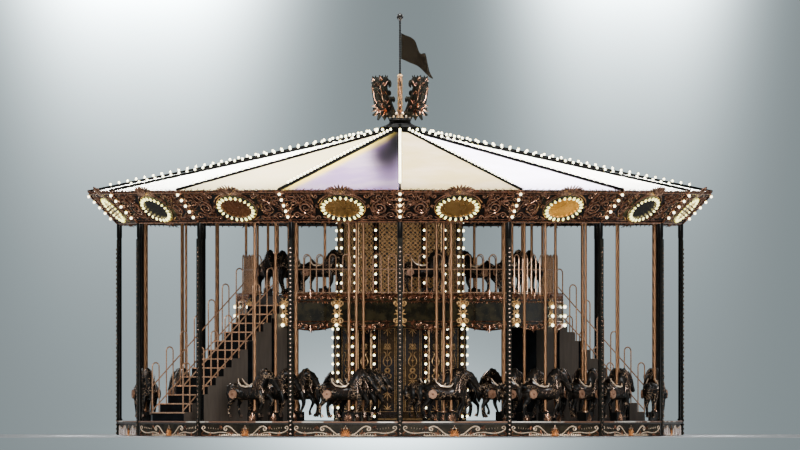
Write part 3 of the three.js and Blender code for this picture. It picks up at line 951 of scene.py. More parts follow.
def leaf_spray(
    root: Spot, heading: float, length: float, count: int = 5,
    spread: float = 110.0, thick: float = 0.02, curl: float = 0.5,
) -> list[Stroke]:
    """A fan of curved leaflets.

    Args:
        root: Where they start.
        heading: The middle direction in degrees.
        length: The middle leaflet's length.
        count: How many leaflets there are.
        spread: The whole fan's angle in degrees.
        thick: A leaflet's largest radius.
        curl: How far each leaflet bends away from the middle.

    Returns:
        One stroke for each leaflet.
    """
    strokes = []
    for i in range(count):
        side = (i / (count - 1) - 0.5) * 2 if count > 1 else 0.0
        angle = math.radians(heading + side * spread / 2)
        reach = length * (1 - 0.35 * abs(side))
        x, y = root
        points = [root]
        for _ in range(3):
            angle += side * curl / 3
            x += math.cos(angle) * reach / 3
            y += math.sin(angle) * reach / 3
            points.append((x, y))
        strokes.append(ribbon(points, thick * (1 - 0.25 * abs(side)), 0.12))
    return strokes


def sprays(*rows: tuple) -> list[Stroke]:
    """The leaflets of several sprays, each a row of what leaf_spray takes."""
    return [stroke for row in rows for stroke in leaf_spray(*row)]


def volutes(*rows: tuple) -> list[Stroke]:
    """Several scrolls, each a row of what volute takes."""
    return [volute(*row) for row in rows]


def straights(*rows: tuple) -> list[Stroke]:
    """Several straight strokes, each a row of what line takes."""
    return [line(*row) for row in rows]


def arc(centre: Spot, radii: Spot, start: float, end: float, thick: float) -> Stroke:
    """A stroke along a stretch of an ellipse, with angles in degrees.

    Args:
        centre: The ellipse's middle.
        radii: Its radii across and up.
        start: The first angle.
        end: The last angle.
        thick: The stroke's radius.

    Returns:
        The stroke.
    """
    steps = max(5, int(abs(end - start) / 15))
    angles = [math.radians(start + (end - start) * i / steps) for i in range(steps + 1)]
    spots = [(centre[0] + radii[0] * math.cos(a), centre[1] + radii[1] * math.sin(a)) for a in angles]
    return even(spots, thick)


def line(start: Spot, end: Spot, thick: float, steps: int = 1) -> Stroke:
    """A straight stroke of even thickness.

    Args:
        start: Its first point.
        end: Its last point.
        thick: Its radius.
        steps: How many parts it has.

    Returns:
        The stroke.
    """
    return even([
        (start[0] + (end[0] - start[0]) * i / steps, start[1] + (end[1] - start[1]) * i / steps)
        for i in range(steps + 1)
    ], thick)


def through(*knots: Spot, thick: float, ends: float = 0.3) -> Stroke:
    """A swelling stroke that runs smoothly through its knots.

    Args:
        knots: The points that it runs through.
        thick: The largest radius.
        ends: The end radius as a share of the largest.

    Returns:
        The stroke.
    """
    points = []
    last = len(knots) - 1
    for i in range(last):
        before, start, end, after = (
            Vector(knots[min(max(k, 0), last)]) for k in (i - 1, i, i + 1, i + 2)
        )
        for s in (0.0, 0.5):
            spot = 0.5 * (
                2 * start + (end - before) * s + (2 * before - 5 * start + 4 * end - after) * s ** 2
                + (3 * start - before - 3 * end + after) * s ** 3
            )
            points.append((spot.x, spot.y))
    return ribbon([*points, knots[-1]], thick, ends)


def painted_ridge_highlights(strokes: Sequence[Stroke], share: float = 0.34) -> list[Stroke]:
    """A thin line of painted highlight along the top of each strong stroke.

    Args:
        strokes: The strokes.
        share: A line's radius as a share of its stroke's.

    Returns:
        The lines.
    """
    return [
        ([(x, y, z + radius * 0.85) for (x, y, z), radius in zip(points, radii)],
         [max(radius * share, 0.004) for radius in radii])
        for points, radii in strokes if max(radii) > 0.0135
    ]


def mirrored(strokes: Sequence[Stroke]) -> list[Stroke]:
    """The strokes and their twins on the other side of x = 0."""
    twins = [([(-x, y, z) for x, y, z in points], radii) for points, radii in strokes]
    return [*strokes, *twins]


def relief(strokes: Sequence[Stroke], flatten: float = 0.7, sides: int = 0, name: str = "relief") -> Piece:
    """Makes strokes into rounded ridges.

    Args:
        strokes: The centre lines with their radii.
        flatten: The ridges' height as a share of their width.
        sides: The bevel resolution of the ridges.
        name: The object's name.

    Returns:
        The ridges as one mesh in the x-y plane.
    """
    bpy.ops.curve.primitive_bezier_curve_add()
    piece = bpy.context.object
    piece.name = name
    curve = piece.data
    curve.splines.clear()
    curve.dimensions = "3D"
    curve.bevel_depth = 1.0
    curve.bevel_resolution = sides
    curve.use_fill_caps = True
    for points, radii in strokes:
        spline = curve.splines.new("POLY")
        spline.points.add(len(points) - 1)
        for spot, place, radius in zip(spline.points, points, radii):
            spot.co = (*place, 1.0)
            spot.radius = radius
    take(piece)
    bpy.ops.object.convert(target="MESH")
    piece = bpy.context.object
    return moved(piece, Matrix.Diagonal((1, 1, flatten, 1)))


def upright_plane(distance: float, height: float, lean: float = 0.0) -> Matrix:
    """The place of a drawing on a front face.

    Args:
        distance: How far the face's foot lies in front of the axis.
        height: The height of the drawing's y = 0.
        lean: How far the face leans outwards, in radians.

    Returns:
        The matrix from drawing x, y and outward z to the model.
    """
    return Matrix((
        (1, 0, 0, 0),
        (0, -math.sin(lean), -math.cos(lean), -distance),
        (0, math.cos(lean), -math.sin(lean), height),
        (0, 0, 0, 1),
    ))


def carved(
    strokes: Sequence[Stroke], place: Matrix, sectors: Iterable[float], name: str, finish: Finish,
    flatten: float = 0.7, sides: int = 0, stands_for: Sequence[str] = (),
) -> None:
    """Lays strokes on a front face as ridges, as relief makes them, and repeats them round the axis."""
    ridges = moved(relief(strokes, flatten, sides), place)
    finished(around(ridges, sectors, name), finish, stands_for=stands_for)


def carved_with_painted_highlights(
    strokes: Sequence[Stroke], place: Matrix, sectors: Iterable[float], name: str, flatten: float = 0.7
) -> None:
    """Carves bronze ridges on a front face, with a fine painted highlight line along the top of each strong
    one.
    """
    carved(strokes, place, sectors, f"{name}_carving", Finish.BRONZE, flatten)
    carved(painted_ridge_highlights(strokes), place, sectors, f"{name}_veins", Finish.COPPER_AND_PAINTED_HIGHLIGHT, flatten)


def bulb(radius: float, rings: int = 6) -> Piece:
    """A round bulb about the origin that points along +Z."""
    bpy.ops.mesh.primitive_uv_sphere_add(segments=rings + 2, ring_count=rings, radius=radius)
    return moved(bpy.context.object, Matrix.Diagonal((1, 1, 1.15, 1)))


def bulbs_at(places: Iterable[Sequence[float]], radius: float, rings: int = 6) -> Piece:
    """A bulb at each of several places."""
    return copied(bulb(radius, rings), [Matrix.Translation(place) for place in places], "bulbs")


def mapped_grid(columns: int, rows: int, place: Callable[[float, float], Point], name: str) -> Piece:
    """A grid with a UV map, laid in space.

    Args:
        columns: Faces across.
        rows: Faces up.
        place: Gives a point for each pair of shares from 0 to 1, across and up.
        name: The object's name.

    Returns:
        The laid grid.
    """
    bpy.ops.mesh.primitive_grid_add(x_subdivisions=columns, y_subdivisions=rows, size=1)
    piece = bpy.context.object
    piece.name = name
    for vertex in piece.data.vertices:
        vertex.co = place(vertex.co.x + 0.5, vertex.co.y + 0.5)
    return piece


def dressed_node(name: str, finish: Finish) -> None:
    """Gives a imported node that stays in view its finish.

    Args:
        name: The node's name.
        finish: Its finish.
    """
    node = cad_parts[name]
    node.data.materials.clear()
    node.data.materials.append(finish.material())


class Assembly:
    """A sub-assembly that builds and dresses its own pieces."""

    def build(self) -> None:
        """Builds every piece."""
        raise NotImplementedError


@dataclass
class Platform(Assembly):
    """The turning floor with its light edge and the carved skirt under it."""

    corner_radius: float = 6.0
    top: float = FLOOR
    bottom: float = 0.26
    skirt_radius: float = 5.962
    skirt_foot: float = 0.006
    # The skirt faces at the sides that get pale fringes as painted highlights.
    painted_highlight_sides: tuple[float, ...] = (3.5, 4.5, 11.5, 12.5)

    def build(self) -> None:
        """Builds the edge and the carving, and dresses the floor."""
        dressed_node("platform_deck", Finish.FLOOR)
        dressed_node("platform_skirt", Finish.SKIRT)
        dressed_node("ground_base", Finish.IRON)
        self.edge()
        self.carving()

    def edge(self) -> None:
        """A metal trim that wraps the floor's rim; its pale colour is a painted reflection, standing in for
        the deck's bright grazing sheen.
        """
        rim = self.corner_radius + 0.005
        profile = [
            (5.93, self.top + 0.002), (self.corner_radius, self.top + 0.003), (rim, self.top - 0.003),
            (rim, self.top - 0.024), (5.985, self.top - 0.028),
        ]
        finished(turned(profile, SIDES, "platform_edge"), Finish.LIP)

    def carving(self) -> None:
        """Long scrolls, dots and a palmette on each side of the skirt, over darker leaves."""
        half = self.skirt_radius * math.sin(SECTOR / 2)
        middle = (self.skirt_foot + self.bottom) / 2
        place = upright_plane(self.skirt_radius * APOTHEM + 0.002, middle)
        low = -0.112
        bright = [
            through((0.09, -0.11), (0.2, -0.07), (0.3, 0.01), (0.38, 0.07), (0.46, 0.088), (0.53, 0.055),
                    (0.525, 0.01), (0.48, 0.0), (0.46, 0.035), (0.49, 0.05), thick=0.015),
            through((0.34, -0.09), (0.48, -0.05), (0.64, -0.04), (0.8, -0.058), (0.93, -0.05), (1.03, -0.015),
                    (1.09, 0.04), (1.07, 0.085), (1.02, 0.075), (1.02, 0.04), (1.05, 0.04), thick=0.012),
            line((0, low), (0.66, low), 0.009),
        ]
        for i in range(5):
            x, y = 0.68 + 0.06 * i, 0.03 + 0.006 * i
            bright.append(line((x, y), (x + 0.004, y), 0.013 + 0.0018 * i))
        bright += sprays(*[((0.03 + 0.055 * i, -0.115), 80, 0.045, 3, 80, 0.009) for i in range(12)])
        bright += leaf_spray((0, 0.04), 90, 0.07, 3, 50, 0.011) + [line((0, 0.04), (0.05, 0.04), 0.008)]
        carved(mirrored(bright), place, MIDDLES, "skirt_scrolls", Finish.PALE_GILT, 0.75)
        palmette = leaf_spray((0.0, -0.11), 90, 0.15, 11, 180, 0.016, 0.2)
        carved(palmette, place, MIDDLES, "skirt_palmettes", Finish.PALM, 1.2)
        # Painted highlight: pale leaf fringes only on the four side faces, where those faces catch the light
        # from the sides.
        fringe = sprays(
            ((0.5, -0.11), 90, 0.2, 9, 150, 0.018), ((1.0, -0.11), 90, 0.2, 9, 150, 0.018),
            ((0.75, -0.1), 90, 0.15, 7, 120, 0.014), ((0.25, -0.1), 90, 0.13, 7, 120, 0.014),
        )
        carved(mirrored(fringe), place, self.painted_highlight_sides, "skirt_fringes", Finish.PAINTED_HIGHLIGHT_GILT, 0.9)
        dark = [line((0, low), (half, low), 0.01)]
        dark += sprays(
            ((0.0, -0.11), 90, 0.2, 7, 150, 0.026, 0.3), ((0.87, -0.11), 90, 0.09, 5, 120, 0.014),
            ((half - 0.02, -0.1), 120, 0.17, 4, 90, 0.016), ((0.34, -0.1), 60, 0.12, 4, 90, 0.014),
            ((0.6, 0.09), -60, 0.1, 4, 90, 0.012), ((0.62, -0.1), 80, 0.08, 4, 100, 0.012),
        )
        carved(mirrored(dark), place, MIDDLES, "skirt_leaves", Finish.BRONZE, 0.6)


@dataclass
class Posts(Assembly):
    """The sixteen black posts with a strip of beads down their outer face."""

    axis_radius: float = 5.95
    radius: float = 0.056
    foot: float = 0.02
    head: float = 4.4995
    bead_pitch: float = 0.0905
    bead_top: float = 4.13

    def build(self) -> None:
        """Builds the shafts and the beads."""
        r = self.radius
        front = -self.axis_radius - r
        low = 0.06
        profile = [
            (0.0, self.foot), (r, self.foot), (r, 0.33), (r + 0.014, 0.334), (r + 0.014, 0.356),
            (r - 0.004, 0.372), (r - 0.004, 4.2), (r + 0.002, 4.21), (r + 0.002, self.head),
            (0.0, self.head),
        ]
        shaft = moved(turned(profile, 12), Matrix.Translation((0, -self.axis_radius, 0)))
        names = [f"post_{k + 1:02d}" for k in range(SIDES)]
        finished(around(shaft, CORNERS, "posts"), Finish.IRON, stands_for=names)
        count = int((self.bead_top - low) / self.bead_pitch)
        beads = bulbs_at([(0, front + 0.004, low + i * self.bead_pitch) for i in range(count)], 0.0255, 4)
        strip = box((-0.045, front - 0.003, 0.03), (0.045, front + 0.03, self.bead_top + 0.03), 0.003)
        finished(around(strip, CORNERS, "post_strips"), Finish.CROWN)
        finished(around(beads, CORNERS, "post_beads"), Finish.BEAD)


@dataclass
class RoundingBoards(Assembly):
    """The leaning boards under the eave: carving, an oval of bulbs round a mirror, corner bulbs."""

    foot_radius: float = 5.974
    head_radius: float = 6.6
    foot: float = 4.5005
    head: float = 5.1365
    thickness: float = 0.04
    oval_height: float = 0.42
    bed_oval: Spot = (0.475, 0.365)
    bulb_oval: Spot = (0.42, 0.31)
    mirror_oval: Spot = (0.372, 0.26)
    bulbs: int = 22
    ring_bulb: float = 0.0225
    corner_bulb: float = 0.029
    corner_heights: tuple[float, ...] = (0.18, 0.345, 0.51, 0.675, 0.84)

    @property
    def lean(self) -> float:
        """How far the boards lean outwards, in radians."""
        return math.atan2((self.head_radius - self.foot_radius) * APOTHEM, self.head - self.foot)

    def face(self, proud: float = 0.0) -> Matrix:
        """The place of a drawing on a board, standing proud of it."""
        out = upright_plane(self.foot_radius * APOTHEM, self.foot, self.lean)
        return out @ Matrix.Translation((0, 0, proud))

    def build(self) -> None:
        """Builds the boards and all that is on them."""
        inner = (self.foot_radius - self.thickness, self.head_radius - self.thickness)
        profile = [
            (5.936, self.foot + 0.06), (inner[0], self.foot), (self.foot_radius, self.foot),
            (self.head_radius, self.head), (inner[1], self.head), (5.98, self.foot + 0.11),
            (5.936, self.foot + 0.06),
        ]
        boards = turned(profile, SIDES, "boards")
        finished(boards, Finish.DARK_GROUND, stands_for=["rounding_boards"], smooth=None)
        self.carving()
        self.ovals()
        self.corner_bulbs()

    def carving(self) -> None:
        """The copper relief, its crest and its drop, with a fine painted highlight line along every ridge."""
        half = 1.165
        strokes = straights(
            ((0, 0.0), (half, 0.0), 0.024), ((0, 0.775), (half + 0.1, 0.775), 0.024),
            ((0, 0.725), (half + 0.09, 0.725), 0.009), ((0, 0.06), (half, 0.06), 0.008),
        )
        eye = (0, 0.378)
        strokes += [arc(eye, (0.485, 0.335), -90, 90, 0.018), arc(eye, (0.54, 0.38), 20, 75, 0.02)]
        strokes += volutes(
            ((0.79, 0.37), 0.165, 110, -1, 2.0, 1.2, 0.027), ((0.82, 0.64), 0.08, 250, 1, 1.3, 1.6, 0.02),
            ((1.04, 0.5), 0.085, 60, -1, 1.3, 1.4, 0.02), ((1.0, 0.18), 0.08, 150, 1, 1.3, 1.6, 0.02),
            ((0.54, 0.67), 0.055, 0, 1, 1.2, 1.5, 0.018), ((0.54, 0.12), 0.05, 20, -1, 1.2, 1.5, 0.018),
            ((0.22, 0.69), 0.036, 20, 1, 1.2, 1.5, 0.014),
        )
        for root, heading, length, count, spread in (
            ((0.6, 0.3), 10, 0.2, 7, 150), ((0.9, 0.48), 40, 0.2, 6, 120), ((0.62, 0.12), 20, 0.24, 6, 80),
            ((1.14, 0.3), 100, 0.22, 6, 110), ((0.74, 0.72), 190, 0.2, 6, 80),
            ((0.62, 0.56), -20, 0.17, 5, 110), ((1.18, 0.68), 190, 0.2, 5, 90),
            ((0.84, 0.2), -60, 0.14, 5, 110), ((0.3, 0.07), 10, 0.2, 4, 60),
            ((0.95, 0.62), 60, 0.13, 5, 110), ((0.58, 0.42), 200, 0.09, 4, 120),
            ((1.12, 0.1), 60, 0.14, 4, 90),
        ):
            strokes += leaf_spray(root, heading, length, count, spread, 0.019)
        for x in (0.34, 0.5, 0.66, 0.82, 0.98, 1.14):
            strokes.append(volute((x, 0.822), 0.034, 200, -1, 1.0, 1.8, 0.014))
            strokes += leaf_spray((x + 0.03, 0.795), 60, 0.06, 3, 80, 0.012)
            strokes += leaf_spray((x, 0.0), -75, 0.06, 3, 110, 0.015)
        strokes += sprays(
            ((0.03, 0.78), 18, 0.27, 5, 44, 0.019, 0.3), ((0.05, 0.03), -28, 0.2, 4, 40, 0.017, 0.3)
        )
        crest = [
            ([(x * 1.9, y, z) for x, y, z in points], radii)
            for points, radii in leaf_spray((0.0, 0.72), 90, 0.25, 17, 170, 0.034, 0.25)
        ]
        crest += leaf_spray((0.0, 0.035), -90, 0.1, 7, 140, 0.02)
        every = [(points, [r * 0.86 for r in radii]) for points, radii in [*mirrored(strokes), *crest]]
        taller = self.face(0.004) @ Matrix.Diagonal((1, 1.11, 1, 1))
        carved_with_painted_highlights(every, taller, MIDDLES, "board")

    def ovals(self) -> None:
        """A dark bed, a mirror field and a ring of bulbs on each board."""
        finished(around(self.disc(self.bed_oval, 0.012), MIDDLES, "oval_beds"), Finish.IRON)
        gold, dark, red = (1.5, 5.5, 10.5), (2.5, 6.5, 9.5, 13.5), (8.5, 14.5)
        copper = [sector for sector in MIDDLES if sector not in gold + dark + red]
        for name, sectors, finish in (
            ("copper_mirrors", copper, Finish.MIRROR), ("gold_mirrors", gold, Finish.GOLD_MIRROR),
            ("dark_mirrors", dark, Finish.DARK_MIRROR), ("red_mirrors", red, Finish.RED_MIRROR),
        ):
            finished(around(self.disc(self.mirror_oval, 0.022), sectors, name), finish)
        rim = arc((0, self.oval_height), tuple(reach + 0.008 for reach in self.mirror_oval), 0, 360, 0.01)
        carved([rim], self.face(0.022), MIDDLES, "oval_rims", Finish.GILT)
        wide, high = self.bulb_oval
        glasses = []
        for i in range(self.bulbs):
            angle = 2 * math.pi * (i + 0.5) / self.bulbs
            x, y = wide * math.cos(angle), self.oval_height + high * math.sin(angle)
            outward = Matrix.Rotation(math.atan2(math.sin(angle) / high, math.cos(angle) / wide), 4, "Z")
            glasses.append(self.face(0.05) @ Matrix.Translation((x, y, 0)) @ outward)
        lying = Matrix.Rotation(math.radians(90), 4, "Y") @ Matrix.Diagonal((1, 1, 1.8, 1))
        ring = copied(moved(bulb(self.ring_bulb), lying), glasses, "oval_ring")
        finished(around(ring, MIDDLES, "oval_bulbs"), Finish.RING_BULB)

    def disc(self, radii: Spot, proud: float) -> Piece:
        """A thin oval plate on the front board.

        Args:
            radii: Its radii across and up.
            proud: How far its face stands in front of the board.

        Returns:
            The plate.
        """
        bpy.ops.mesh.primitive_cylinder_add(vertices=32, radius=1, depth=1)
        shape = Matrix.Translation((0, self.oval_height, 0)) @ Matrix.Diagonal((*radii, 0.02, 1))
        return moved(bpy.context.object, self.face(proud - 0.01) @ shape)

    def corner_bulbs(self) -> None:
        """A bronze strip, five bulbs and a small horn at each corner."""
        place = upright_plane(self.foot_radius + 0.012, self.foot, math.radians(44.5))
        carved([line((0, 0.0), (0, 0.87), 0.036, 4)], place, CORNERS, "corner_strips", Finish.BRONZE)
        curls = volutes(
            ((0.07, 0.66), 0.045, 200, -1, 1.2, 1.6, 0.011), ((0.07, 0.3), 0.045, 160, 1, 1.2, 1.6, 0.011)
        )
        curls += sprays(((0.03, 0.1), 60, 0.13, 4, 70, 0.011), ((0.03, 0.46), 40, 0.13, 4, 70, 0.011))
        pair = moved(relief(mirrored(curls)), place)
        horn = moved(relief(leaf_spray((0, 0), 90, 0.17, 7, 100, 0.02)), upright_plane(6.57, 5.06, 0.15))
        finished(around(fused([pair, horn], "curls"), CORNERS, "corner_curls"), Finish.COPPER_AND_PAINTED_HIGHLIGHT)
        tops = [place @ Vector((0, y, 0.035)) for y in self.corner_heights]
        finished(around(bulbs_at(tops, self.corner_bulb), CORNERS, "corner_bulbs"), Finish.BULB)


@dataclass
class Roof(Assembly):
    """Canvas panels between sixteen ribs that carry bulbs."""

    apex: float = 6.53
    slope: float = 0.2072
    eye: float = 0.33
    eave: float = 6.586
    sag: float = 0.018
    rib_start: float = 0.39
    rib_end: float = 6.622
    bulb_end: float = 6.4
    rib_width: float = 0.046
    rib_height: float = 0.05
    bold_width: float = 0.106
    bulb_radius: float = 0.026
    bulb_start: float = 0.12
    bulb_pitch: float = 0.185

    def height(self, radius: float) -> float:
        """The roof's height along a ridge."""
        return self.apex - self.slope * radius

    def build(self) -> None:
        """Builds the canvas, the ribs and their bulbs."""
        dressed_node("roof_frame", Finish.IRON)
        self.canvas()
        self.ribs()

    def canvas(self) -> None:
        """The canvas, which sags a little between the ribs."""
        def place(across: float, up: float) -> Point:
            """A point of the front panel.

            Args:
                across: The share of the way across, from 0 to 1.
                up: The share of the way up, from 0 to 1.

            Returns:
                The point.
            """
            radius = self.eave + (self.eye - self.eave) * up
            angle = (across - 0.5) * SECTOR
            reach = radius * APOTHEM / math.cos(angle)
            droop = self.sag * math.sin(math.pi * across) * math.sin(math.pi * up) ** 0.5
            return reach * math.sin(angle), -reach * math.cos(angle), self.height(radius) - droop - 0.002

        panel = mapped_grid(8, 14, place, "panel")
        cloth = around(panel, MIDDLES, "canopy")
        loops = cloth.data.uv_layers.active.data
        share = len(loops) // SIDES
        for i, item in enumerate(loops):
            item.uv.x = i // share + 0.02 + 0.96 * item.uv.x
        take(cloth)
        bpy.ops.object.mode_set(mode="EDIT")
        weld(1e-4)
        finished(cloth, Finish.CANVAS, stands_for=["roof_canopy"])

    def ribs(self) -> None:
        """The black ribs, the ring at the top and the bulbs."""
        pitch = math.atan(self.slope)
        length = (self.rib_end - self.rib_start) / math.cos(pitch)
        half = self.rib_width / 2
        root = Matrix.Translation((0, -self.rib_start, self.height(self.rib_start)))
        along = root @ Matrix.Rotation(pitch, 4, "X")
        bar = moved(box((-half, -length, 0.001), (half, 0, self.rib_height), 0.006), along)
        wide = self.bold_width / 2
        bold = moved(box((-wide, -length, -0.004), (wide, 0, 0.008)), along)
        ring = turned([(0.335, 6.465), (0.345, 6.515), (0.45, 6.517), (0.452, 6.445)], SIDES)
        bars = around(bar, CORNERS, "bars")
        bold = around(bold, (2.0, 15.0), "bold")
        finished(fused([bars, ring, bold], "ribs"), Finish.MATT, stands_for=["roof_ribs"], smooth=None)
        count = int((self.bulb_end - self.rib_start) / self.bulb_pitch)
        seat = self.rib_height + 0.024
        places = [along @ Vector((0, -self.bulb_start - i * self.bulb_pitch, seat)) for i in range(count)]
        finished(around(bulbs_at(places, self.bulb_radius), CORNERS, "rib_bulbs"), Finish.BULB)


@dataclass
class Crown(Assembly):
    """The black trumpet foot, the spindle, eight scroll plates, and the mast with its flag."""

    foot: float = 6.5203
    top: float = 6.742
    spindle_top: float = 7.675
    mast_top: float = 8.815
    ball: float = 0.074
    flag_top: tuple[Spot, ...] = (
        (0.0243, 8.544), (0.12, 8.497), (0.23, 8.455), (0.315, 8.385), (0.355, 8.29), (0.4, 8.16),
        (0.45, 8.1), (0.535, 8.115), (0.58, 7.93), (0.625, 7.73), (0.7, 7.59),
    )
    flag_foot: tuple[Spot, ...] = (
        (0.0243, 7.992), (0.1, 7.965), (0.2, 7.917), (0.3, 7.878), (0.37, 7.845), (0.43, 7.8),
        (0.48, 7.75), (0.53, 7.697), (0.58, 7.647), (0.63, 7.6), (0.7, 7.57),
    )

    def build(self) -> None:
        """Builds the crown from the foot up."""
        profile = [(0.43, self.foot)]
        for radius, rise in (
            (0.43, 0.025), (0.37, 0.045), (0.3, 0.07), (0.24, 0.105), (0.22, 0.14), (0.24, 0.18),
        ):
            profile.append((radius, self.foot + rise))
        profile += [(0.2, self.top), (0.0, self.top)]
        finished(turned(profile, 32, "crown_foot"), Finish.MATT, stands_for=["crown_base"])
        self.plates()
        self.spindle()
        self.mast()
        self.flag()

    def plates(self) -> None:
        """Eight flat carved plates that stand out from the spindle, with painted highlight strokes on their
        outer parts.
        """
        inner = [
            (0.1, 6.78), (0.2, 6.86), (0.275, 6.97), (0.325, 7.08), (0.38, 7.19), (0.43, 7.34), (0.455, 7.5),
            (0.45, 7.61),
        ]
        outer = [
            (0.2, 6.8), (0.33, 6.85), (0.42, 6.96), (0.475, 7.1), (0.51, 7.25), (0.53, 7.4), (0.525, 7.58),
        ]
        strokes = [
            ([(x, z, 0.0) for x, z in inner], [0.05, 0.07, 0.08, 0.075, 0.07, 0.065, 0.065, 0.045]),
            ([(x, z, 0.0) for x, z in outer], [0.06, 0.09, 0.1, 0.09, 0.08, 0.075, 0.045]),
        ]
        for thick, *knots in (
            (0.046, (0.3, 7.04), (0.26, 7.13), (0.2, 7.16), (0.185, 7.12), (0.21, 7.1)),
            (0.036, (0.4, 7.2), (0.36, 7.29), (0.3, 7.285), (0.3, 7.25), (0.33, 7.24)),
            (0.05, (0.42, 7.4), (0.37, 7.5), (0.31, 7.5), (0.3, 7.44), (0.34, 7.42)),
        ):
            strokes.append(through(*knots, thick=thick, ends=0.7))
        for z in (7.5, 7.36, 7.22, 7.08):
            strokes += leaf_spray((0.52 - 0.12 * (7.5 - z), z), -12, 0.095, 3, 80, 0.022)
        strokes += sprays(
            ((0.36, 6.93), -48, 0.28, 6, 100, 0.046, 0.9), ((0.53, 7.53), 80, 0.13, 4, 90, 0.024, 0.3),
            ((0.42, 7.55), 100, 0.12, 4, 90, 0.022),
        )
        radial = Matrix(((0, 0, -1, 0), (-1, 0, 0, 0), (0, 1, 0, 0), (0, 0, 0, 1)))
        sectors = CORNERS[::2]
        names = ["crown_scrolls"]
        carved(strokes, radial, sectors, "crown_plates", Finish.CROWN, 0.3, stands_for=names)
        curls = volutes(
            ((0.5, 7.46), 0.05, 200, -1, 1.2, 1.6, 0.012), ((0.5, 7.27), 0.05, 160, 1, 1.2, 1.6, 0.012),
            ((0.44, 7.08), 0.05, 200, -1, 1.2, 1.6, 0.012), ((0.34, 6.96), 0.045, 160, 1, 1.2, 1.6, 0.012),
        )
        carved(curls, radial, sectors, "crown_curls", Finish.BRONZE, 2.6)
        # Painted highlights: bright copper strokes on the plates' outer parts, standing in for their lit
        # edges and white glints.
        bright = sprays(((0.42, 6.94), -36, 0.22, 4, 70, 0.021, 0.6), ((0.5, 7.0), 0, 0.1, 3, 60, 0.018))
        bright += [through((0.47, 7.02), (0.54, 7.15), (0.565, 7.3), (0.6, 7.42), thick=0.012)]
        bright += sprays(((0.55, 7.52), 66, 0.1, 3, 70, 0.013), ((0.56, 7.35), 10, 0.06, 3, 70, 0.01))
        carved(bright, radial, sectors, "crown_lights", Finish.COPPER_AND_PAINTED_HIGHLIGHT, 2.2, 1)
        beads = bulbs_at([(0, -0.2, 6.775), (0.06, -0.17, 6.83)], 0.028)
        finished(around(beads, sectors, "crown_beads"), Finish.PALE_GILT)

    def spindle(self) -> None:
        """The copper spindle between the plates."""
        profile = [
            (0.0, self.top), (0.085, self.top), (0.075, 6.8), (0.05, 6.84), (0.068, 6.9), (0.048, 6.96),
        ]
        for i in range(5):
            low = 7.0 + i * 0.125
            profile += [(0.054, low), (0.058, low + 0.05), (0.05, low + 0.1)]
        profile += [(0.06, 7.63), (0.03, self.spindle_top), (0.0, self.spindle_top)]
        finished(turned(profile, 12, "spindle"), Finish.TAN)

    def mast(self) -> None:
        """The knobbed mast with its ball and spike."""
        profile = [(0.0, self.spindle_top), (0.034, self.spindle_top)]
        low = self.spindle_top + 0.05
        while low < self.mast_top - 0.05:
            profile += [(0.018, low), (0.0235, low + 0.022), (0.018, low + 0.044)]
            low += 0.05
        centre = self.mast_top + self.ball * 0.95
        for degrees in (24, 50, 76, 104, 130, 150):
            turn = math.radians(degrees)
            profile.append((self.ball * math.sin(turn), centre - self.ball * math.cos(turn)))
        profile += [(0.02, 8.955), (0.0, 8.97)]
        finished(turned(profile, 10, "mast"), Finish.IRON, stands_for=["flag_mast"])

    def flag(self) -> None:
        """The drooping flag."""
        top, foot = (through(*edge, thick=1.0)[0] for edge in (self.flag_top, self.flag_foot))
        columns = len(top) - 1

        def place(across: float, up: float) -> Point:
            """A point of the cloth.

            Args:
                across: The share of the way across, from 0 to 1.
                up: The share of the way up, from 0 to 1.

            Returns:
                The point.
            """
            high, low = (Vector(edge[round(across * columns)]) for edge in (top, foot))
            x, z, _ = low.lerp(high, up)
            sway = 0.05 * math.sin(across * 2 * math.pi + 0.25 * up)
            return x, sway * (0.25 + 0.75 * across), z

        cloth = mapped_grid(columns, 14, place, "flag_cloth")
        finished(cloth, Finish.FLAG, stands_for=["flag"], smooth=80.0)


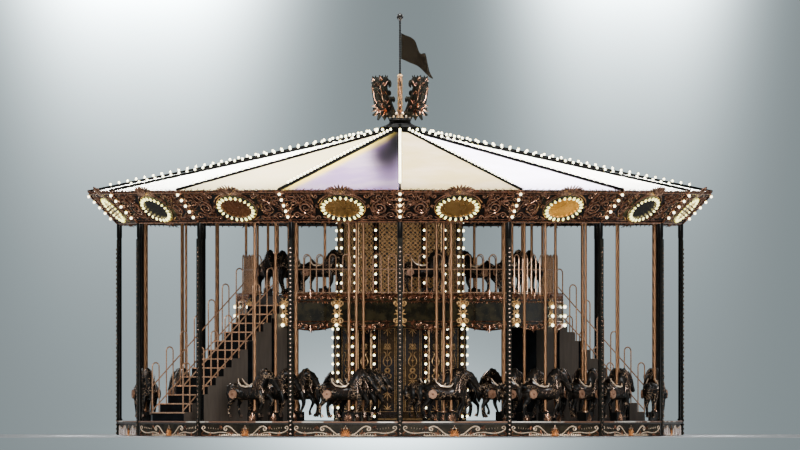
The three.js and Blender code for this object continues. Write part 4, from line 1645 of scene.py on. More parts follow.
@dataclass
class Drum(Assembly):
    """The centre housings: corner pilasters with bulbs, carved dark panels, a gilt lattice above."""

    lower_radius: float = 1.384
    lower_foot: float = FLOOR
    lower_top: float = 2.75
    upper_radius: float = 1.304
    upper_foot: float = UPPER_FLOOR
    upper_top: float = 4.55
    upper_head: float = 4.8
    bulb_radius: float = 0.027
    bulb_pitch: float = 0.185

    def build(self) -> None:
        """Builds both storeys."""
        dressed_node("lower_drum", Finish.DRUM)
        dressed_node("upper_drum", Finish.DRUM)
        self.pilasters("lower", self.lower_radius, self.lower_foot, self.lower_top, 11)
        self.pilasters("upper", self.upper_radius, self.upper_foot, self.upper_top, 9)
        self.arabesques()
        self.lattice()

    def pilasters(self, storey: str, radius: float, foot: float, head: float, bulbs: int) -> None:
        """A dark upright at each corner with its row of bulbs and leaves between them.

        Args:
            storey: The storey's name.
            radius: The drum's corner radius.
            foot: Where the uprights start.
            head: Where they end.
            bulbs: How many bulbs each has.
        """
        bar = box((-0.058, -radius - 0.022, foot + 0.002), (0.058, -radius + 0.05, head), 0.006)
        finished(around(bar, CORNERS, f"{storey}_pilasters"), Finish.IRON)
        rows = [foot + 0.1 + i * self.bulb_pitch for i in range(bulbs)]
        lamps = bulbs_at([(0, -radius - 0.04, z) for z in rows], self.bulb_radius)
        finished(around(lamps, CORNERS, f"{storey}_drum_bulbs"), Finish.BULB)
        leaves = sprays(*[((0, z + 0.045), 90, 0.085, 3, 90, 0.013) for z in rows])
        place = upright_plane(radius + 0.024, 0)
        carved(leaves, place, CORNERS, f"{storey}_pilaster_leaves", Finish.BRONZE)

    def arabesques(self) -> None:
        """Thin frame lines and a copper candelabrum on each lower face."""
        low, high = self.lower_foot + 0.2, 2.28
        strokes = straights(
            ((0.158, low), (0.158, high), 0.007), ((0.19, low), (0.19, high), 0.006),
            ((0, high), (0.185, high), 0.006), ((0, low), (0.185, low), 0.006),
            ((0, 0.36), (0.21, 0.36), 0.012), ((0, 0.75), (0, 1.3), 0.006), ((0, 1.47), (0, 2.05), 0.005),
        )
        strokes += [
            arc((0, 1.39), (0.043, 0.043), -90, 90, 0.019),
            through((0.0, 1.47), (0.06, 1.5), (0.09, 1.58), (0.06, 1.66), (0.03, 1.71), (0.05, 1.77),
                    (0.085, 1.78), thick=0.012),
            through((0.0, 1.2), (0.06, 1.23), (0.08, 1.29), (0.02, 1.33), thick=0.012),
            volute((0.05, 1.03), 0.034, 100, -1, 1.2, 1.2, 0.01),
            volute((0.045, 1.93), 0.028, 250, 1, 1.1, 1.4, 0.009),
        ]
        middle = sprays(
            ((0, 1.83), 90, 0.14, 5, 120, 0.012), ((0, 1.19), -90, 0.15, 5, 120, 0.012),
            ((0, 2.26), -90, 0.15, 5, 120, 0.012), ((0, 0.93), -90, 0.18, 5, 90, 0.012),
            ((0, 0.56), 90, 0.14, 5, 120, 0.012), ((0, 1.58), 90, 0.09, 3, 60, 0.01),
        )
        place = upright_plane(self.lower_radius * APOTHEM + 0.002, 0)
        carved([*mirrored(strokes), *middle], place, MIDDLES, "lower_arabesques", Finish.TAN)

    def lattice(self) -> None:
        """The gilt lattice on each upper face, over a thin backing with its pattern."""
        distance = self.upper_radius * APOTHEM
        half = self.upper_radius * math.sin(SECTOR / 2) - 0.05
        low, high = self.upper_foot + 0.02, self.upper_head - 0.02

        def place(across: float, up: float) -> Point:
            """A point of the front backing."""
            return (across - 0.5) * 2 * half, -distance - 0.005, low + (high - low) * up

        backing = mapped_grid(1, 1, place, "backing")
        finished(around(backing, MIDDLES, "upper_lattice_backing"), Finish.DAMASK)
        strokes = [line((half - 0.01, low), (half - 0.01, high), 0.009)]
        step = 0.23
        for i in range(8):
            z = low + step / 2 + i * step
            strokes.append(arc((0, z), (half * 0.62, step * 0.5), -90, 90, 0.008))
            strokes.append(volute((half * 0.62, z + step / 2), 0.04, 100, -1, 1.1, 1.2, 0.009))
            strokes += leaf_spray((0.0, z - 0.07), 75, 0.12, 3, 60, 0.009)
        place = upright_plane(distance + 0.006, 0)
        carved(mirrored(strokes), place, MIDDLES, "upper_lattice", Finish.TAN)


@dataclass
class UpperDeck(Assembly):
    """The upper deck's fascia with crest and drop, and the hooped railing on it."""

    fascia_radius: float = 3.456
    deck_radius: float = 3.4
    bottom: float = 2.29
    top: float = 3.0
    rail_radius: float = 3.35
    floor: float = UPPER_FLOOR
    hoops_per_side: int = 4
    hoop_width: float = 0.17
    hoop_height: float = 0.875
    bar: float = 0.0125
    rails: Spot = (0.07, 0.56)
    stair_gap: float = 0.635
    bulb_radius: float = 0.035
    bulb_heights: tuple[float, ...] = (0.06, 0.255, 0.45)

    @property
    def half(self) -> float:
        """Half the length of one side of the fascia."""
        return self.fascia_radius * math.sin(SECTOR / 2)

    def build(self) -> None:
        """Builds the fascia and the railing."""
        dressed_node("upper_deck", Finish.FLOOR)
        self.fascia()
        self.carving()
        self.corners()
        self.railing()

    def fascia(self) -> None:
        """The dark glossy band on every side, cut off at the stairs."""
        outer = self.fascia_radius * APOTHEM
        inner = self.deck_radius * APOTHEM + 0.002
        side = box((-self.half, -outer, self.bottom), (self.half, -inner, self.top))
        parts = [around(side, BOTH_HALVES, "band")]
        for hand in (-1, 1):
            low, high = sorted((hand * self.stair_gap, hand * self.half))
            stub = box((low, -outer, self.bottom), (high, -inner, self.top))
            parts.append(around(stub, STAIR_SECTORS, "stub"))
        names = ["upper_fascia_right", "upper_fascia_left"]
        finished(fused(parts, "fascia"), Finish.FASCIA, stands_for=names, smooth=None)

    def carving(self) -> None:
        """Crest, drop and mouldings, with a fine painted highlight line along every ridge."""
        half = self.half
        height = self.top - self.bottom
        place = upright_plane(self.fascia_radius * APOTHEM + 0.003, self.bottom)
        crest = height - 0.09
        strokes = straights(
            ((0, height - 0.02), (half, height - 0.02), 0.02),
            ((0, height - 0.16), (half, height - 0.16), 0.014), ((0, 0.13), (half, 0.13), 0.013),
        )
        strokes.append(arc((0, 0.16), (half, 0.2), -88, -20, 0.016))
        strokes += volutes(
            ((0.12, 0.02), 0.05, 80, -1, 1.3, 1.6, 0.016), ((0.3, 0.05), 0.042, 260, 1, 1.2, 1.6, 0.014),
            ((0.14, crest), 0.045, 80, -1, 1.2, 1.6, 0.015), ((0.3, crest), 0.045, 260, 1, 1.2, 1.6, 0.015),
            ((0.47, crest), 0.045, 80, -1, 1.2, 1.6, 0.015),
        )
        strokes += sprays(((0.44, 0.1), 200, 0.15, 5, 90, 0.013), ((0.24, 0.08), -60, 0.09, 4, 110, 0.012))
        for x in (0.12, 0.24, 0.36, 0.48, 0.6):
            strokes += sprays(
                ((x, crest), 75, 0.13, 5, 120, 0.012), ((x - 0.06, height - 0.15), -80, 0.05, 3, 110, 0.01)
            )
        middle = sprays(((0, height - 0.1), 90, 0.19, 9, 140, 0.016), ((0, 0.06), -90, 0.16, 9, 160, 0.015))
        every = [*mirrored(strokes), *middle]
        carved_with_painted_highlights(every, place, BOTH_HALVES, "fascia", 0.8)

    def corners(self) -> None:
        """A gilt scroll with three bulbs at each corner."""
        corner = upright_plane(self.fascia_radius, self.bottom)
        gilt = [
            volute((0.085, 0.52), 0.06, 200, -1, 1.3, 2.2, 0.016),
            volute((0.085, 0.14), 0.06, 160, 1, 1.3, 2.2, 0.016),
            line((0.05, 0.05), (0.05, 0.62), 0.01, 4),
        ]
        gilt += sprays(
            ((0.03, 0.3), 20, 0.11, 4, 140, 0.016), ((0.03, 0.44), 60, 0.12, 3, 60, 0.014),
            ((0.03, 0.2), -60, 0.12, 3, 60, 0.014),
        )
        carved(mirrored(gilt), corner, CORNERS, "fascia_corners", Finish.TAN)
        tops = [corner @ Vector((0, y, 0.04)) for y in self.bulb_heights]
        finished(around(bulbs_at(tops, self.bulb_radius), CORNERS, "fascia_bulbs"), Finish.BULB)

    def railing(self) -> None:
        """Arched hoops with a low and a middle rail on every side without a stair."""
        half = self.rail_radius * math.sin(SECTOR / 2)
        strokes = []
        for i in range(self.hoops_per_side):
            x = (2 * (i + 0.5) / self.hoops_per_side - 1) * half
            strokes.append(arch(x, self.hoop_width, 0.004, 0.004, self.hoop_height, self.bar))
        strokes += [line((-half, z), (half, z), self.bar) for z in self.rails]
        place = upright_plane(self.rail_radius * APOTHEM, self.floor)
        names = ["upper_railing_right", "upper_railing_left"]
        carved(strokes, place, BOTH_HALVES, "upper_railing", Finish.COPPER, 1.0, 1, names)


def arch(
    middle: float, width: float, left_foot: float, right_foot: float, top: float, thick: float
) -> Stroke:
    """A round-topped hoop as one stroke.

    Args:
        middle: The place of its middle.
        width: The distance of its legs.
        left_foot: The height of the left foot.
        right_foot: The height of the right foot.
        top: The height of its top.
        thick: The tube's radius.

    Returns:
        The stroke.
    """
    half = width / 2
    points = [(middle - half, left_foot)]
    for i in range(9):
        angle = math.pi * (1 - i / 8)
        points.append((middle + half * math.cos(angle), top - half + half * math.sin(angle)))
    return even([*points, (middle + half, right_foot)], thick)


@dataclass
class Stairs(Assembly):
    """Two boxed flights with copper nosings and hooped railings."""

    foot_radius: float = 5.87
    tread: float = 0.2
    risers: int = 14
    floor: float = FLOOR
    upper_floor: float = UPPER_FLOOR
    width: float = 1.24
    hoops: int = 7
    hoop_pitch: float = 0.352
    hoop_width: float = 0.168
    hoop_height: float = 0.975
    bar: float = 0.015
    rails: Spot = (0.045, 0.56)
    seat: float = 0.003

    @property
    def rise(self) -> float:
        """The height of one riser."""
        return (self.upper_floor - self.floor) / self.risers

    def nosing_line(self, radius: float) -> float:
        """The height of the line through the nosings."""
        return self.floor + self.rise + (self.foot_radius - radius) * self.rise / self.tread

    def tread_height(self, radius: float) -> float:
        """The height of the tread at a radius."""
        step = int((self.foot_radius - radius) / self.tread) + 1
        return self.floor + min(max(step, 0), self.risers - 1) * self.rise

    def build(self) -> None:
        """Builds both flights' dress and railings."""
        for place in ("front", "back"):
            dressed_node(f"stair_{place}", Finish.STAIR)
        self.treads()
        self.side_joints()
        self.railings()

    def treads(self) -> None:
        """Lacquered risers and copper nosings."""
        nosings, faces = [], []
        half = self.width / 2
        inner = half - 0.012
        for i in range(self.risers - 1):
            front = -self.foot_radius + i * self.tread
            low = self.floor + i * self.rise
            high = low + self.rise
            nosing = (-half, front - 0.004, high - 0.022), (half, front + 0.03, high + 0.003)
            nosings.append(box(*nosing, 0.003))
            faces.append(box((-inner, front - 0.002, low + 0.004), (inner, front + 0.004, high - 0.024)))
        for parts, name, finish in (
            (nosings, "stair_nosings", Finish.COPPER), (faces, "stair_risers", Finish.RISER),
        ):
            finished(around(fused(parts, "steps"), STAIR_SECTORS, name), finish, smooth=None)

    def side_joints(self) -> None:
        """Black upright strips on both flanks, and a black panel at one flank's inner end."""
        strips = []
        half = self.width / 2
        joints = [(2, 0.09), (8, 0.11), (11, 0.1)]
        for hand, places in ((-1, [*joints, (14, 0.68)]), (1, joints)):
            inner, outer = sorted((hand * (half - 0.002), hand * (half + 0.003)))
            for i, wide in places:
                front = -self.foot_radius + i * self.tread + 0.002
                high = min(self.floor + (i + 1) * self.rise, 2.5)
                strips.append(box((inner, front, self.floor + 0.01), (outer, front + wide, high - 0.01)))
        flanks = around(fused(strips, "strip"), STAIR_SECTORS, "stair_joints")
        finished(flanks, Finish.RISER, smooth=None)

    def railings(self) -> None:
        """Hoops and two sloping rails on both sides of each flight."""
        first = self.foot_radius - 0.075
        strokes = []
        half = self.hoop_width / 2
        for k in range(self.hoops):
            radius = first - k * self.hoop_pitch
            strokes.append(arch(
                -radius, self.hoop_width, self.tread_height(radius + half) + self.seat,
                self.tread_height(radius - half) + self.seat,
                self.nosing_line(radius) + self.hoop_height, self.bar,
            ))
        last = first - (self.hoops - 1) * self.hoop_pitch - half - 0.11
        for rise in self.rails:
            start = (-first - half, self.nosing_line(first + half) + rise)
            strokes.append(line(start, (-last, self.nosing_line(last) + rise), self.bar))
        side = relief(strokes, 1.0, 1)
        radial = Matrix(((0, 0, 1, 0), (1, 0, 0, 0), (0, 1, 0, 0), (0, 0, 0, 1)))
        offsets = [Matrix.Translation((hand * (self.width / 2 - 0.03), 0, 0)) @ radial for hand in (-1, 1)]
        pair = copied(side, offsets, "pair")
        names = [f"stair_{place}_railing_{side}" for place in ("front", "back") for side in ("left", "right")]
        finished(around(pair, STAIR_SECTORS, "stair_railings"), Finish.COPPER, stands_for=names)


@dataclass
class Horse:
    """A galloping horse that faces +X with its pole on the Z axis; the floor is z = 0."""

    skin_step: float = 0.018
    triangles: int = 2200
    haunch: Spot = (-0.43, 0.57)

    @staticmethod
    def middle(spots: Sequence[Spot], radii: list[float]) -> Stroke:
        """A limb in the plane y = 0 through (x, z) points."""
        return [(x, 0.0, z) for x, z in spots], radii

    @staticmethod
    def leg(y: float, radii: list[float], *spots: Spot) -> Stroke:
        """A leg off the middle through six (x, z) points, a little wider at its knee."""
        knee = y + math.copysign(0.005, y)
        return [(x, way, z) for way, (x, z) in zip((y, knee, knee, y, y, y), spots)], radii

    def limbs(self) -> list[Stroke]:
        """The body as overlapping rounded limbs.

        Returns:
            The limbs' centre lines with their radii.
        """
        limbs = [
            self.middle(
                [(-0.57, 0.67), (-0.48, 0.66), (-0.33, 0.61), (-0.12, 0.59), (0.08, 0.6), (0.2, 0.64),
                 (0.28, 0.66)],
                [0.11, 0.178, 0.165, 0.142, 0.165, 0.17, 0.1],
            ),
            self.middle(
                [(0.12, 0.7), (0.19, 0.82), (0.24, 0.93), (0.29, 1.0), (0.35, 1.02)],
                [0.16, 0.15, 0.125, 0.1, 0.075],
            ),
            self.middle(
                [(0.29, 1.02), (0.4, 0.95), (0.49, 0.84), (0.57, 0.72), (0.63, 0.64), (0.645, 0.62)],
                [0.075, 0.1, 0.085, 0.058, 0.047, 0.035],
            ),
            self.middle(
                [(0.3, 1.06), (0.22, 1.02), (0.14, 0.93), (0.08, 0.83), (0.05, 0.76)],
                [0.045, 0.075, 0.085, 0.08, 0.05],
            ),
        ]
        for x, z in ((0.28, 1.1), (0.2, 1.08), (0.12, 1.01), (0.05, 0.92), (0.01, 0.83)):
            limbs.append(self.middle([(x, z - 0.03), (x, z), (x - 0.03, z + 0.01)], [0.04, 0.045, 0.02]))
        for side in (-1, 1):
            limbs.append(([(0.3, side * 0.035, 1.06), (0.305, side * 0.045, 1.11)], [0.026, 0.006]))
        hind = [0.12, 0.07, 0.04, 0.028, 0.03, 0.035]
        return [
            *limbs,
            self.leg(0.07, [0.085, 0.052, 0.044, 0.026, 0.03, 0.034],
                     (0.24, 0.62), (0.37, 0.47), (0.4, 0.4), (0.33, 0.27), (0.3, 0.2), (0.31, 0.155)),
            self.leg(-0.07, [0.085, 0.05, 0.044, 0.026, 0.03, 0.034],
                     (0.2, 0.6), (0.25, 0.42), (0.25, 0.36), (0.18, 0.21), (0.15, 0.15), (0.17, 0.11)),
            self.leg(0.08, hind,
                     (-0.47, 0.62), (-0.4, 0.46), (-0.47, 0.33), (-0.45, 0.2), (-0.42, 0.13), (-0.4, 0.1)),
            self.leg(-0.08, hind,
                     (-0.52, 0.6), (-0.5, 0.44), (-0.6, 0.32), (-0.6, 0.19), (-0.585, 0.13), (-0.565, 0.1)),
            self.middle(
                [(-0.6, 0.74), (-0.65, 0.72), (-0.665, 0.6), (-0.64, 0.46), (-0.63, 0.38)],
                [0.045, 0.05, 0.06, 0.04, 0.012],
            ),
        ]

    @staticmethod
    def both_flanks(strokes: Sequence[Stroke]) -> list[Stroke]:
        """The strokes of the flank at +Y on both flanks.

        Args:
            strokes: The strokes.

        Returns:
            The strokes and their twins at -Y.
        """
        return [
            ([(x, side * y, z) for x, y, z in points], radii)
            for side in (-1, 1) for points, radii in strokes
        ]

    def body(self) -> Piece:
        """The lacquered figure as one skin with about two thousand faces.

        Returns:
            The figure.
        """
        figure = relief(self.limbs(), 1.0, 2, "figure")
        applied(figure, "REMESH", mode="VOXEL", voxel_size=self.skin_step)
        applied(figure, "SMOOTH", factor=0.5, iterations=3)
        applied(figure, "DECIMATE", ratio=min(1.0, self.triangles / (2 * len(figure.data.polygons))))
        return figure

    def saddle(self) -> Piece:
        """The padded saddle, which lies on the dip of the back.

        Returns:
            The saddle.
        """
        def place(across: float, up: float) -> Point:
            """A point of the saddle skin.

            Args:
                across: The share of the way across, from 0 to 1.
                up: The share of the way up, from 0 to 1.

            Returns:
                The point.
            """
            x = -0.37 + 0.39 * up
            angle = (across - 0.5) * math.radians(190)
            rim = 0.15 * (1 - up) ** 3 + 0.07 * up ** 5
            radius = 0.15 + rim * math.cos(angle)
            return x, radius * math.sin(angle) * (1 - 0.4 * (1 - up) ** 3), 0.59 + radius * math.cos(angle)

        return mapped_grid(8, 6, place, "saddle")

    def harness(self) -> Piece:
        """Fine gilt strands on the mane and chest, straps, tail locks and hooves.

        Returns:
            The harness.
        """
        strokes = []
        for i in range(6):
            x, z = 0.31 - 0.22 * i / 5, 1.09 - 0.25 * i / 5
            lock = [(x, 0.045, z), (x - 0.05, 0.085, z - 0.03), (x - 0.04, 0.12, z - 0.12)]
            strokes.append((lock, [0.007, 0.008, 0.004]))
        for i in range(7):
            x = 0.05 + 0.045 * i
            out = 0.178 * math.sqrt(1 - max(0.0, (x - 0.2) / 0.2) ** 2) + 0.004
            strand = [(0.18, 0.15, 0.9), (0.6 * x + 0.07, 0.165, 0.78), (x, out, 0.6 + 0.08 * (i % 2))]
            strokes.append((strand, [0.003, 0.0035, 0.006]))
            x, z = 0.1 + 0.035 * i, 0.78 + 0.035 * i
            curl = [(x, 0.14, z), (x + 0.01, 0.15, z - 0.06), (x + 0.07, 0.12, z - 0.1)]
            strokes.append((curl, [0.004, 0.006, 0.004]))
        for i in range(5):
            x = -0.3 + 0.1 * i
            fold = [(x, 0.15, 0.67), (x + 0.03, 0.16, 0.62), (x - 0.01, 0.145, 0.54)]
            strokes.append((fold, [0.003, 0.005, 0.003]))
        strokes += [
            ([(0.11, 0.155, 0.69), (0.22, 0.16, 0.67), (0.33, 0.07, 0.69), (0.36, 0, 0.71)],
             [0.01, 0.011, 0.011, 0.01]),
            ([(-0.3, 0.15, 0.68), (-0.45, 0.165, 0.7), (-0.58, 0.1, 0.66), (-0.62, 0, 0.66)],
             [0.01, 0.011, 0.011, 0.009]),
            ([(0.33, 0.06, 1.06), (0.42, 0.085, 0.97), (0.53, 0.055, 0.78), (0.6, 0.04, 0.69)],
             [0.009, 0.01, 0.01, 0.008]),
            ([(0.45, 0.075, 0.87), (0.53, 0.055, 0.9), (0.55, 0, 0.92)], [0.008] * 3),
            ([(0.51, 0.055, 0.76), (0.57, 0.05, 0.8), (0.59, 0, 0.81)], [0.008] * 3),
        ]
        strokes = self.both_flanks(strokes)
        for x, y, z in (
            (0.31, 0.07, 0.155), (0.17, -0.07, 0.105), (-0.4, 0.08, 0.105), (-0.565, -0.08, 0.105),
        ):
            strokes.append(([(x - 0.008, y, z + 0.035), (x + 0.012, y, z - 0.02)], [0.032, 0.042]))
        tail = [(-0.61, 0.79), (-0.67, 0.74), (-0.71, 0.6), (-0.675, 0.44)]
        strokes.append(self.middle(tail, [0.01, 0.012, 0.013, 0.004]))
        return relief(strokes, 1.0, name="harness")

    def saddle_edge(self) -> Piece:
        """The bright crescent along the saddle's lower edge, and the nose band.

        Returns:
            The edge and the band.
        """
        crescent = [
            (-0.365, 0.07, 0.9), (-0.33, 0.11, 0.82), (-0.25, 0.14, 0.75),
            (-0.13, 0.155, 0.728), (-0.03, 0.15, 0.74), (0.02, 0.11, 0.8),
        ]
        strokes = self.both_flanks([(crescent, [0.007, 0.013, 0.018, 0.02, 0.018, 0.009])])
        strokes.append(self.middle([(0.62, 0.655), (0.64, 0.63)], [0.043, 0.03]))
        return relief(strokes, 1.0, 1, "saddle_edge")

    def rosettes(self) -> Piece:
        """A large disc on each haunch.

        Returns:
            The discs.
        """
        x, z = self.haunch
        disc = ([(x, 0.165, z), (x, 0.205, z)], [0.1, 0.094])
        return relief(self.both_flanks([disc]), 1.0, 2, "rosettes")

    def bosses(self) -> Piece:
        """The dark boss in each rosette."""
        x, z = self.haunch
        return relief([([(x, -0.212, z), (x, 0.212, z)], [0.022, 0.022])], 1.0, 1, "bosses")


@dataclass
class Pole:
    """A twisted tube between two heights on the Z axis."""

    foot: float
    head: float
    radius: float = 0.029
    twist_pitch: float = 0.24
    sides: int = 8

    def make(self) -> Piece:
        """Makes the pole with a UV map that follows its length.

        Returns:
            The pole.
        """
        length = self.head - self.foot

        def place(across: float, up: float) -> Point:
            """A point of the tube."""
            turn = across * 2 * math.pi
            return self.radius * math.cos(turn), self.radius * math.sin(turn), self.foot + length * up

        tube = mapped_grid(self.sides, 4, place, "tube")
        for item in tube.data.uv_layers.active.data:
            item.uv.y *= length / self.twist_pitch
        return tube


@dataclass
class Row:
    """One row of horses on blocks: where it stands and how large its horses are."""

    name: str
    radius: float
    sectors: list[float]
    floor: float = FLOOR
    scale: float = 1.0
    step: int = 1

    def on_axis(self, height: float = 0.0) -> Matrix:
        """The shift from the origin to the row's front pole."""
        return Matrix.Translation((0, -self.radius, height))

    @property
    def place(self) -> Matrix:
        """The place of the row's front horse, from the horse's own coordinates."""
        return self.on_axis(self.floor) @ Matrix.Scale(self.scale, 4)


@dataclass
class Menagerie(Assembly):
    """Every horse with its pole and its block."""

    outer: float = 5.491
    jumper: float = 4.706
    inner: float = 3.943
    upper: float = 2.849
    upper_scale: float = 0.88
    block: Point = (0.25, 0.18, 0.19)
    beam_bottom: float = 4.5
    beam_top: float = 4.56
    pole_head: float = 4.55
    jumper_pole: Spot = (0.06, 4.64)
    model: Piece | None = None
    trim: dict[Finish, Piece] = field(default_factory=dict)

    def make_models(self) -> None:
        """Makes the model horse and its trim, from which every horse is copied."""
        horse = Horse()
        figure, saddle = horse.body(), horse.saddle()
        figure.data.materials.append(Finish.HORSE.material())
        saddle.data.materials.append(Finish.SADDLE.material())
        self.model = fused([figure, saddle], "horse_model")
        self.trim = {
            Finish.BEAD: horse.harness(), Finish.PALE_GILT: horse.saddle_edge(),
            Finish.ROSETTE: horse.rosettes(), Finish.BRONZE: horse.bosses(),
        }

    def build(self) -> None:
        """Builds the fixed rows and the jumping horses."""
        self.make_models()
        for half, sectors in HALVES.items():
            self.fixed_row(Row(f"outer_horses_{half}", self.outer, sectors))
            self.fixed_row(Row(f"inner_horses_{half}", self.inner, sectors))
            name = f"upper_horses_{half}"
            self.fixed_row(Row(name, self.upper, sectors[::2], UPPER_FLOOR, self.upper_scale, 2))
        for i, sector in enumerate(BOTH_HALVES):
            self.jumping_horse(i + 1, sector)
        self.jumper_blocks()
        for model in (self.model, *self.trim.values()):
            bpy.data.objects.remove(model)

    def ranked(self, model: Piece, row: Row, name: str) -> Piece:
        """Copies of a model in the places of a row's horses."""
        return around(moved(duplicate(model), row.place), row.sectors, name)

    def herd(self, row: Row, name: str, body: str) -> None:
        """Builds a row's lacquered horses, which keep their own finishes, and their trim.

        Args:
            row: The row.
            name: The name of the horses as one piece.
            body: The body that they move with.
        """
        horses = take(self.ranked(self.model, row, name))
        bpy.ops.object.shade_smooth_by_angle(angle=math.radians(50))
        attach(horses, body)
        Finish.HORSE.slot
        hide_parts(row.name)
        LOG.info("%s: %d faces", horses.name, len(horses.data.polygons))
        for finish, model in self.trim.items():
            finished(self.ranked(model, row, f"{row.name}_{model.name}"), finish, body)

    def fixed_row(self, row: Row) -> None:
        """Builds one half row of standing horses with poles, blocks and overhead beams.

        Args:
            row: The row.
        """
        self.herd(row, row.name.replace("horses", "herd"), RIDE)
        foot = row.floor + self.block[2] * row.scale - 0.01
        pole = moved(Pole(foot, self.pole_head).make(), row.on_axis())
        finished(around(pole, row.sectors, f"{row.name}_poles"), Finish.POLE, smooth=60.0)
        self.blocks(row)

    def blocks(self, row: Row) -> None:
        """A fixed row's black blocks and overhead beams, and the blocks' gilt crowns and collars.

        Args:
            row: The row.
        """
        w, d, h = (side * row.scale / 2 for side in self.block)
        block = box((-w, -row.radius - d, row.floor), (w, -row.radius + d, row.floor + 2 * h), 0.008)
        boxes = around(block, row.sectors, "boxes")
        chord = row.radius * math.sin(row.step * SECTOR / 2) + 0.012
        middle = row.radius * math.cos(row.step * SECTOR / 2)
        beam = box((-chord, -middle - 0.04, self.beam_bottom), (chord, -middle + 0.04, self.beam_top))
        beams = around(beam, [sector - row.step / 2 for sector in row.sectors[1:]], "beams")
        finished(fused([boxes, beams], f"{row.name}_blocks"), Finish.IRON, smooth=None)
        collar = turned([(0.052, 0.0), (0.056, 0.012), (0.036, 0.03), (0.031, 0.05)], 12)
        collar = moved(collar, row.on_axis(row.floor + 2 * h))
        pair = fused([self.leaf_crown(row), collar], "crown")
        finished(around(pair, row.sectors, f"{row.name}_crowns"), Finish.COPPER_AND_PAINTED_HIGHLIGHT)

    def leaf_crown(self, row: Row) -> Piece:
        """A crown of leaves on the outer face of a row's front block.

        Args:
            row: The row.

        Returns:
            The crown.
        """
        strokes = leaf_spray((0, 0.01), 90, 0.17, 7, 110, 0.026, 0.3)
        strokes += straights(((-0.085, 0.012), (0.085, 0.012), 0.012), ((-0.07, 0.05), (0.07, 0.05), 0.008))
        face = upright_plane(row.radius + self.block[1] * row.scale / 2 - 0.002, row.floor)
        return moved(relief(strokes, 0.6), face @ Matrix.Scale(row.scale, 4))

    def jumper_blocks(self) -> None:
        """The sleeve blocks that the jumping poles pass through, open at the top, with their crowns."""
        row = Row("jumping", self.jumper, BOTH_HALVES)
        finished(around(self.leaf_crown(row), row.sectors, "sleeve_crowns"), Finish.COPPER_AND_PAINTED_HIGHLIGHT)
        w, d, h = (side / 2 for side in self.block)

        def shaft(grow: float, low: float, high: float) -> Piece:
            """A box round the front sleeve, grown sideways.

            Args:
                grow: How far it stands out from the sleeve on each side.
                low: Its foot above the floor.
                high: Its head above the floor.

            Returns:
                The box.
            """
            return box(
                (-w - grow, -row.radius - d - grow, row.floor + low),
                (w + grow, -row.radius + d + grow, row.floor + high),
            )

        cover = shaft(0.002, 0.001, 2 * h - 0.004)
        hollow = shaft(-0.01, -0.1, 1.0)
        applied(cover, "BOOLEAN", object=hollow)
        bpy.data.objects.remove(hollow)
        finished(around(cover, row.sectors, "sleeve_blocks"), Finish.IRON, smooth=None)

    def jumping_horse(self, number: int, sector: float) -> None:
        """Builds one jumping horse on its pole.

        Args:
            number: The horse's number, from 1.
            sector: Its sector.
        """
        name = f"jumping_horse_{number:02d}"
        body = f"jumper_{number:02d}"
        row = Row(name, self.jumper, [sector])
        self.herd(row, f"jumping_figure_{number:02d}", body)
        pole = moved(Pole(*self.jumper_pole).make(), row.on_axis())
        finished(around(pole, [sector], f"{name}_pole"), Finish.POLE, body, smooth=60.0)
        collar = turned([(0.03, 0.5103), (0.056, 0.5103), (0.056, 0.53), (0.036, 0.544)], 12)
        collar = moved(collar, row.on_axis())
        finished(around(collar, [sector], f"{name}_collar"), Finish.COPPER, body)


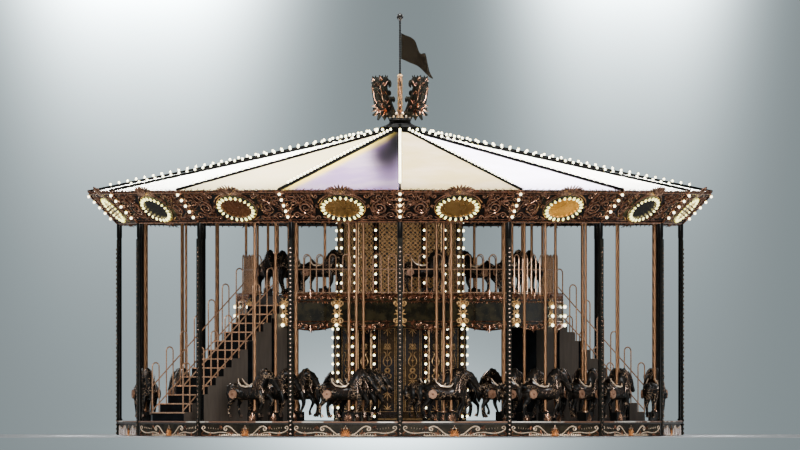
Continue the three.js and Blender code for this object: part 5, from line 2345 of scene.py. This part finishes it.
@dataclass
class Studio(Assembly):
    """Pale floor, soft grey backdrop and lamps."""

    floor_radius: float = 14.0
    backdrop_distance: float = 60.0
    tint: Colour = (0.83, 1.0, 1.05)

    def build(self) -> None:
        """Builds the stage."""
        self.floor()
        self.backdrop()
        self.lamps()
        self.world()

    def floor(self) -> None:
        """A pale plain floor."""
        bpy.ops.mesh.primitive_circle_add(vertices=64, radius=self.floor_radius, fill_type="NGON")
        floor = bpy.context.object
        floor.name = "floor"
        shader = Shader("floor_paint")
        shader.set(Base_Color=(0.32, 0.34, 0.35), Roughness=0.7, Specular_IOR_Level=0.1)
        floor.data.materials.append(shader.material)

    def backdrop(self) -> None:
        """A far narrow wall with two soft pools of light at the top and one at the foot."""
        place = (0, self.backdrop_distance, 4.9)
        bpy.ops.mesh.primitive_plane_add(size=1, location=place, rotation=(math.pi / 2, 0, 0))
        wall = bpy.context.object
        wall.name = "backdrop"
        wall.scale = (20, 11.6, 1)
        settle(wall)
        shader = Shader("backdrop_paint")
        across, _, up = shader.parts(shader.place())
        top = across.pool(-6.2, 3.6, 3.0) * 4.0 + across.pool(5.5, 2.9, 3.0) * 3.45
        foot = across.pool(-0.3, 3.9) * up.pool(-0.3, 1.9, 1.0) * 2.5
        light = (top * up.pool(10.4, 3.4, 1.0) + foot - 1.27).exponent()
        shader.set(
            Base_Color=(0.0, 0.0, 0.0), Roughness=1.0, Specular_IOR_Level=0.0,
            Emission_Color=shader.dimmed(self.tint, light), Emission_Strength=1.0,
        )
        wall.data.materials.append(shader.material)

    def lamps(self) -> None:
        """A large soft lamp above the roof and weaker ones all round."""
        for place, size, power, spread in (
            ((0, 0, 24), 12.8, 5600, 12), ((-20, -20, 16), 7, 2600, 180), ((20, -20, 16), 7, 2600, 180),
            ((0, -30, 4), 10, 5000, 180), ((-20, 20, 16), 7, 2600, 180), ((20, 20, 16), 7, 2600, 180),
        ):
            bpy.ops.object.light_add(type="AREA", location=place)
            lamp = bpy.context.object
            aim = Vector((0, 0, 3)) - Vector(place)
            lamp.rotation_euler = aim.to_track_quat("-Z", "Y").to_euler()
            lamp.data.shape = "DISK"
            lamp.data.size = size
            lamp.data.energy = power
            lamp.data.spread = math.radians(spread)

    def world(self) -> None:
        """A surround that is dark in front and bright at the sides, behind and above."""
        world = bpy.context.scene.world or bpy.data.worlds.new("World")
        bpy.context.scene.world = world
        surround = Surround(world)
        generated = surround.node("ShaderNodeTexCoord", output="Generated")
        across, deep, high = surround.parts(generated)
        light = across.absolute().above(0.72, 0.4) * 0.9 + deep.above(0.2, 0.5) * 0.5
        light += high.above(0.6, 0.5) * 0.4
        surround.set(Color=surround.blend(light, (0.085, 0.08, 0.075), (0.5, 0.53, 0.55)), Strength=1.0)


def main() -> None:
    """Builds the scene."""
    logging.basicConfig(level=logging.INFO, format="%(message)s")
    deselect()
    for assembly in (
        Platform(), Posts(), RoundingBoards(), Roof(), Crown(), Drum(), UpperDeck(), Stairs(), Menagerie(),
    ):
        assembly.build()
    Studio().build()


if __name__ == "__main__":
    main()
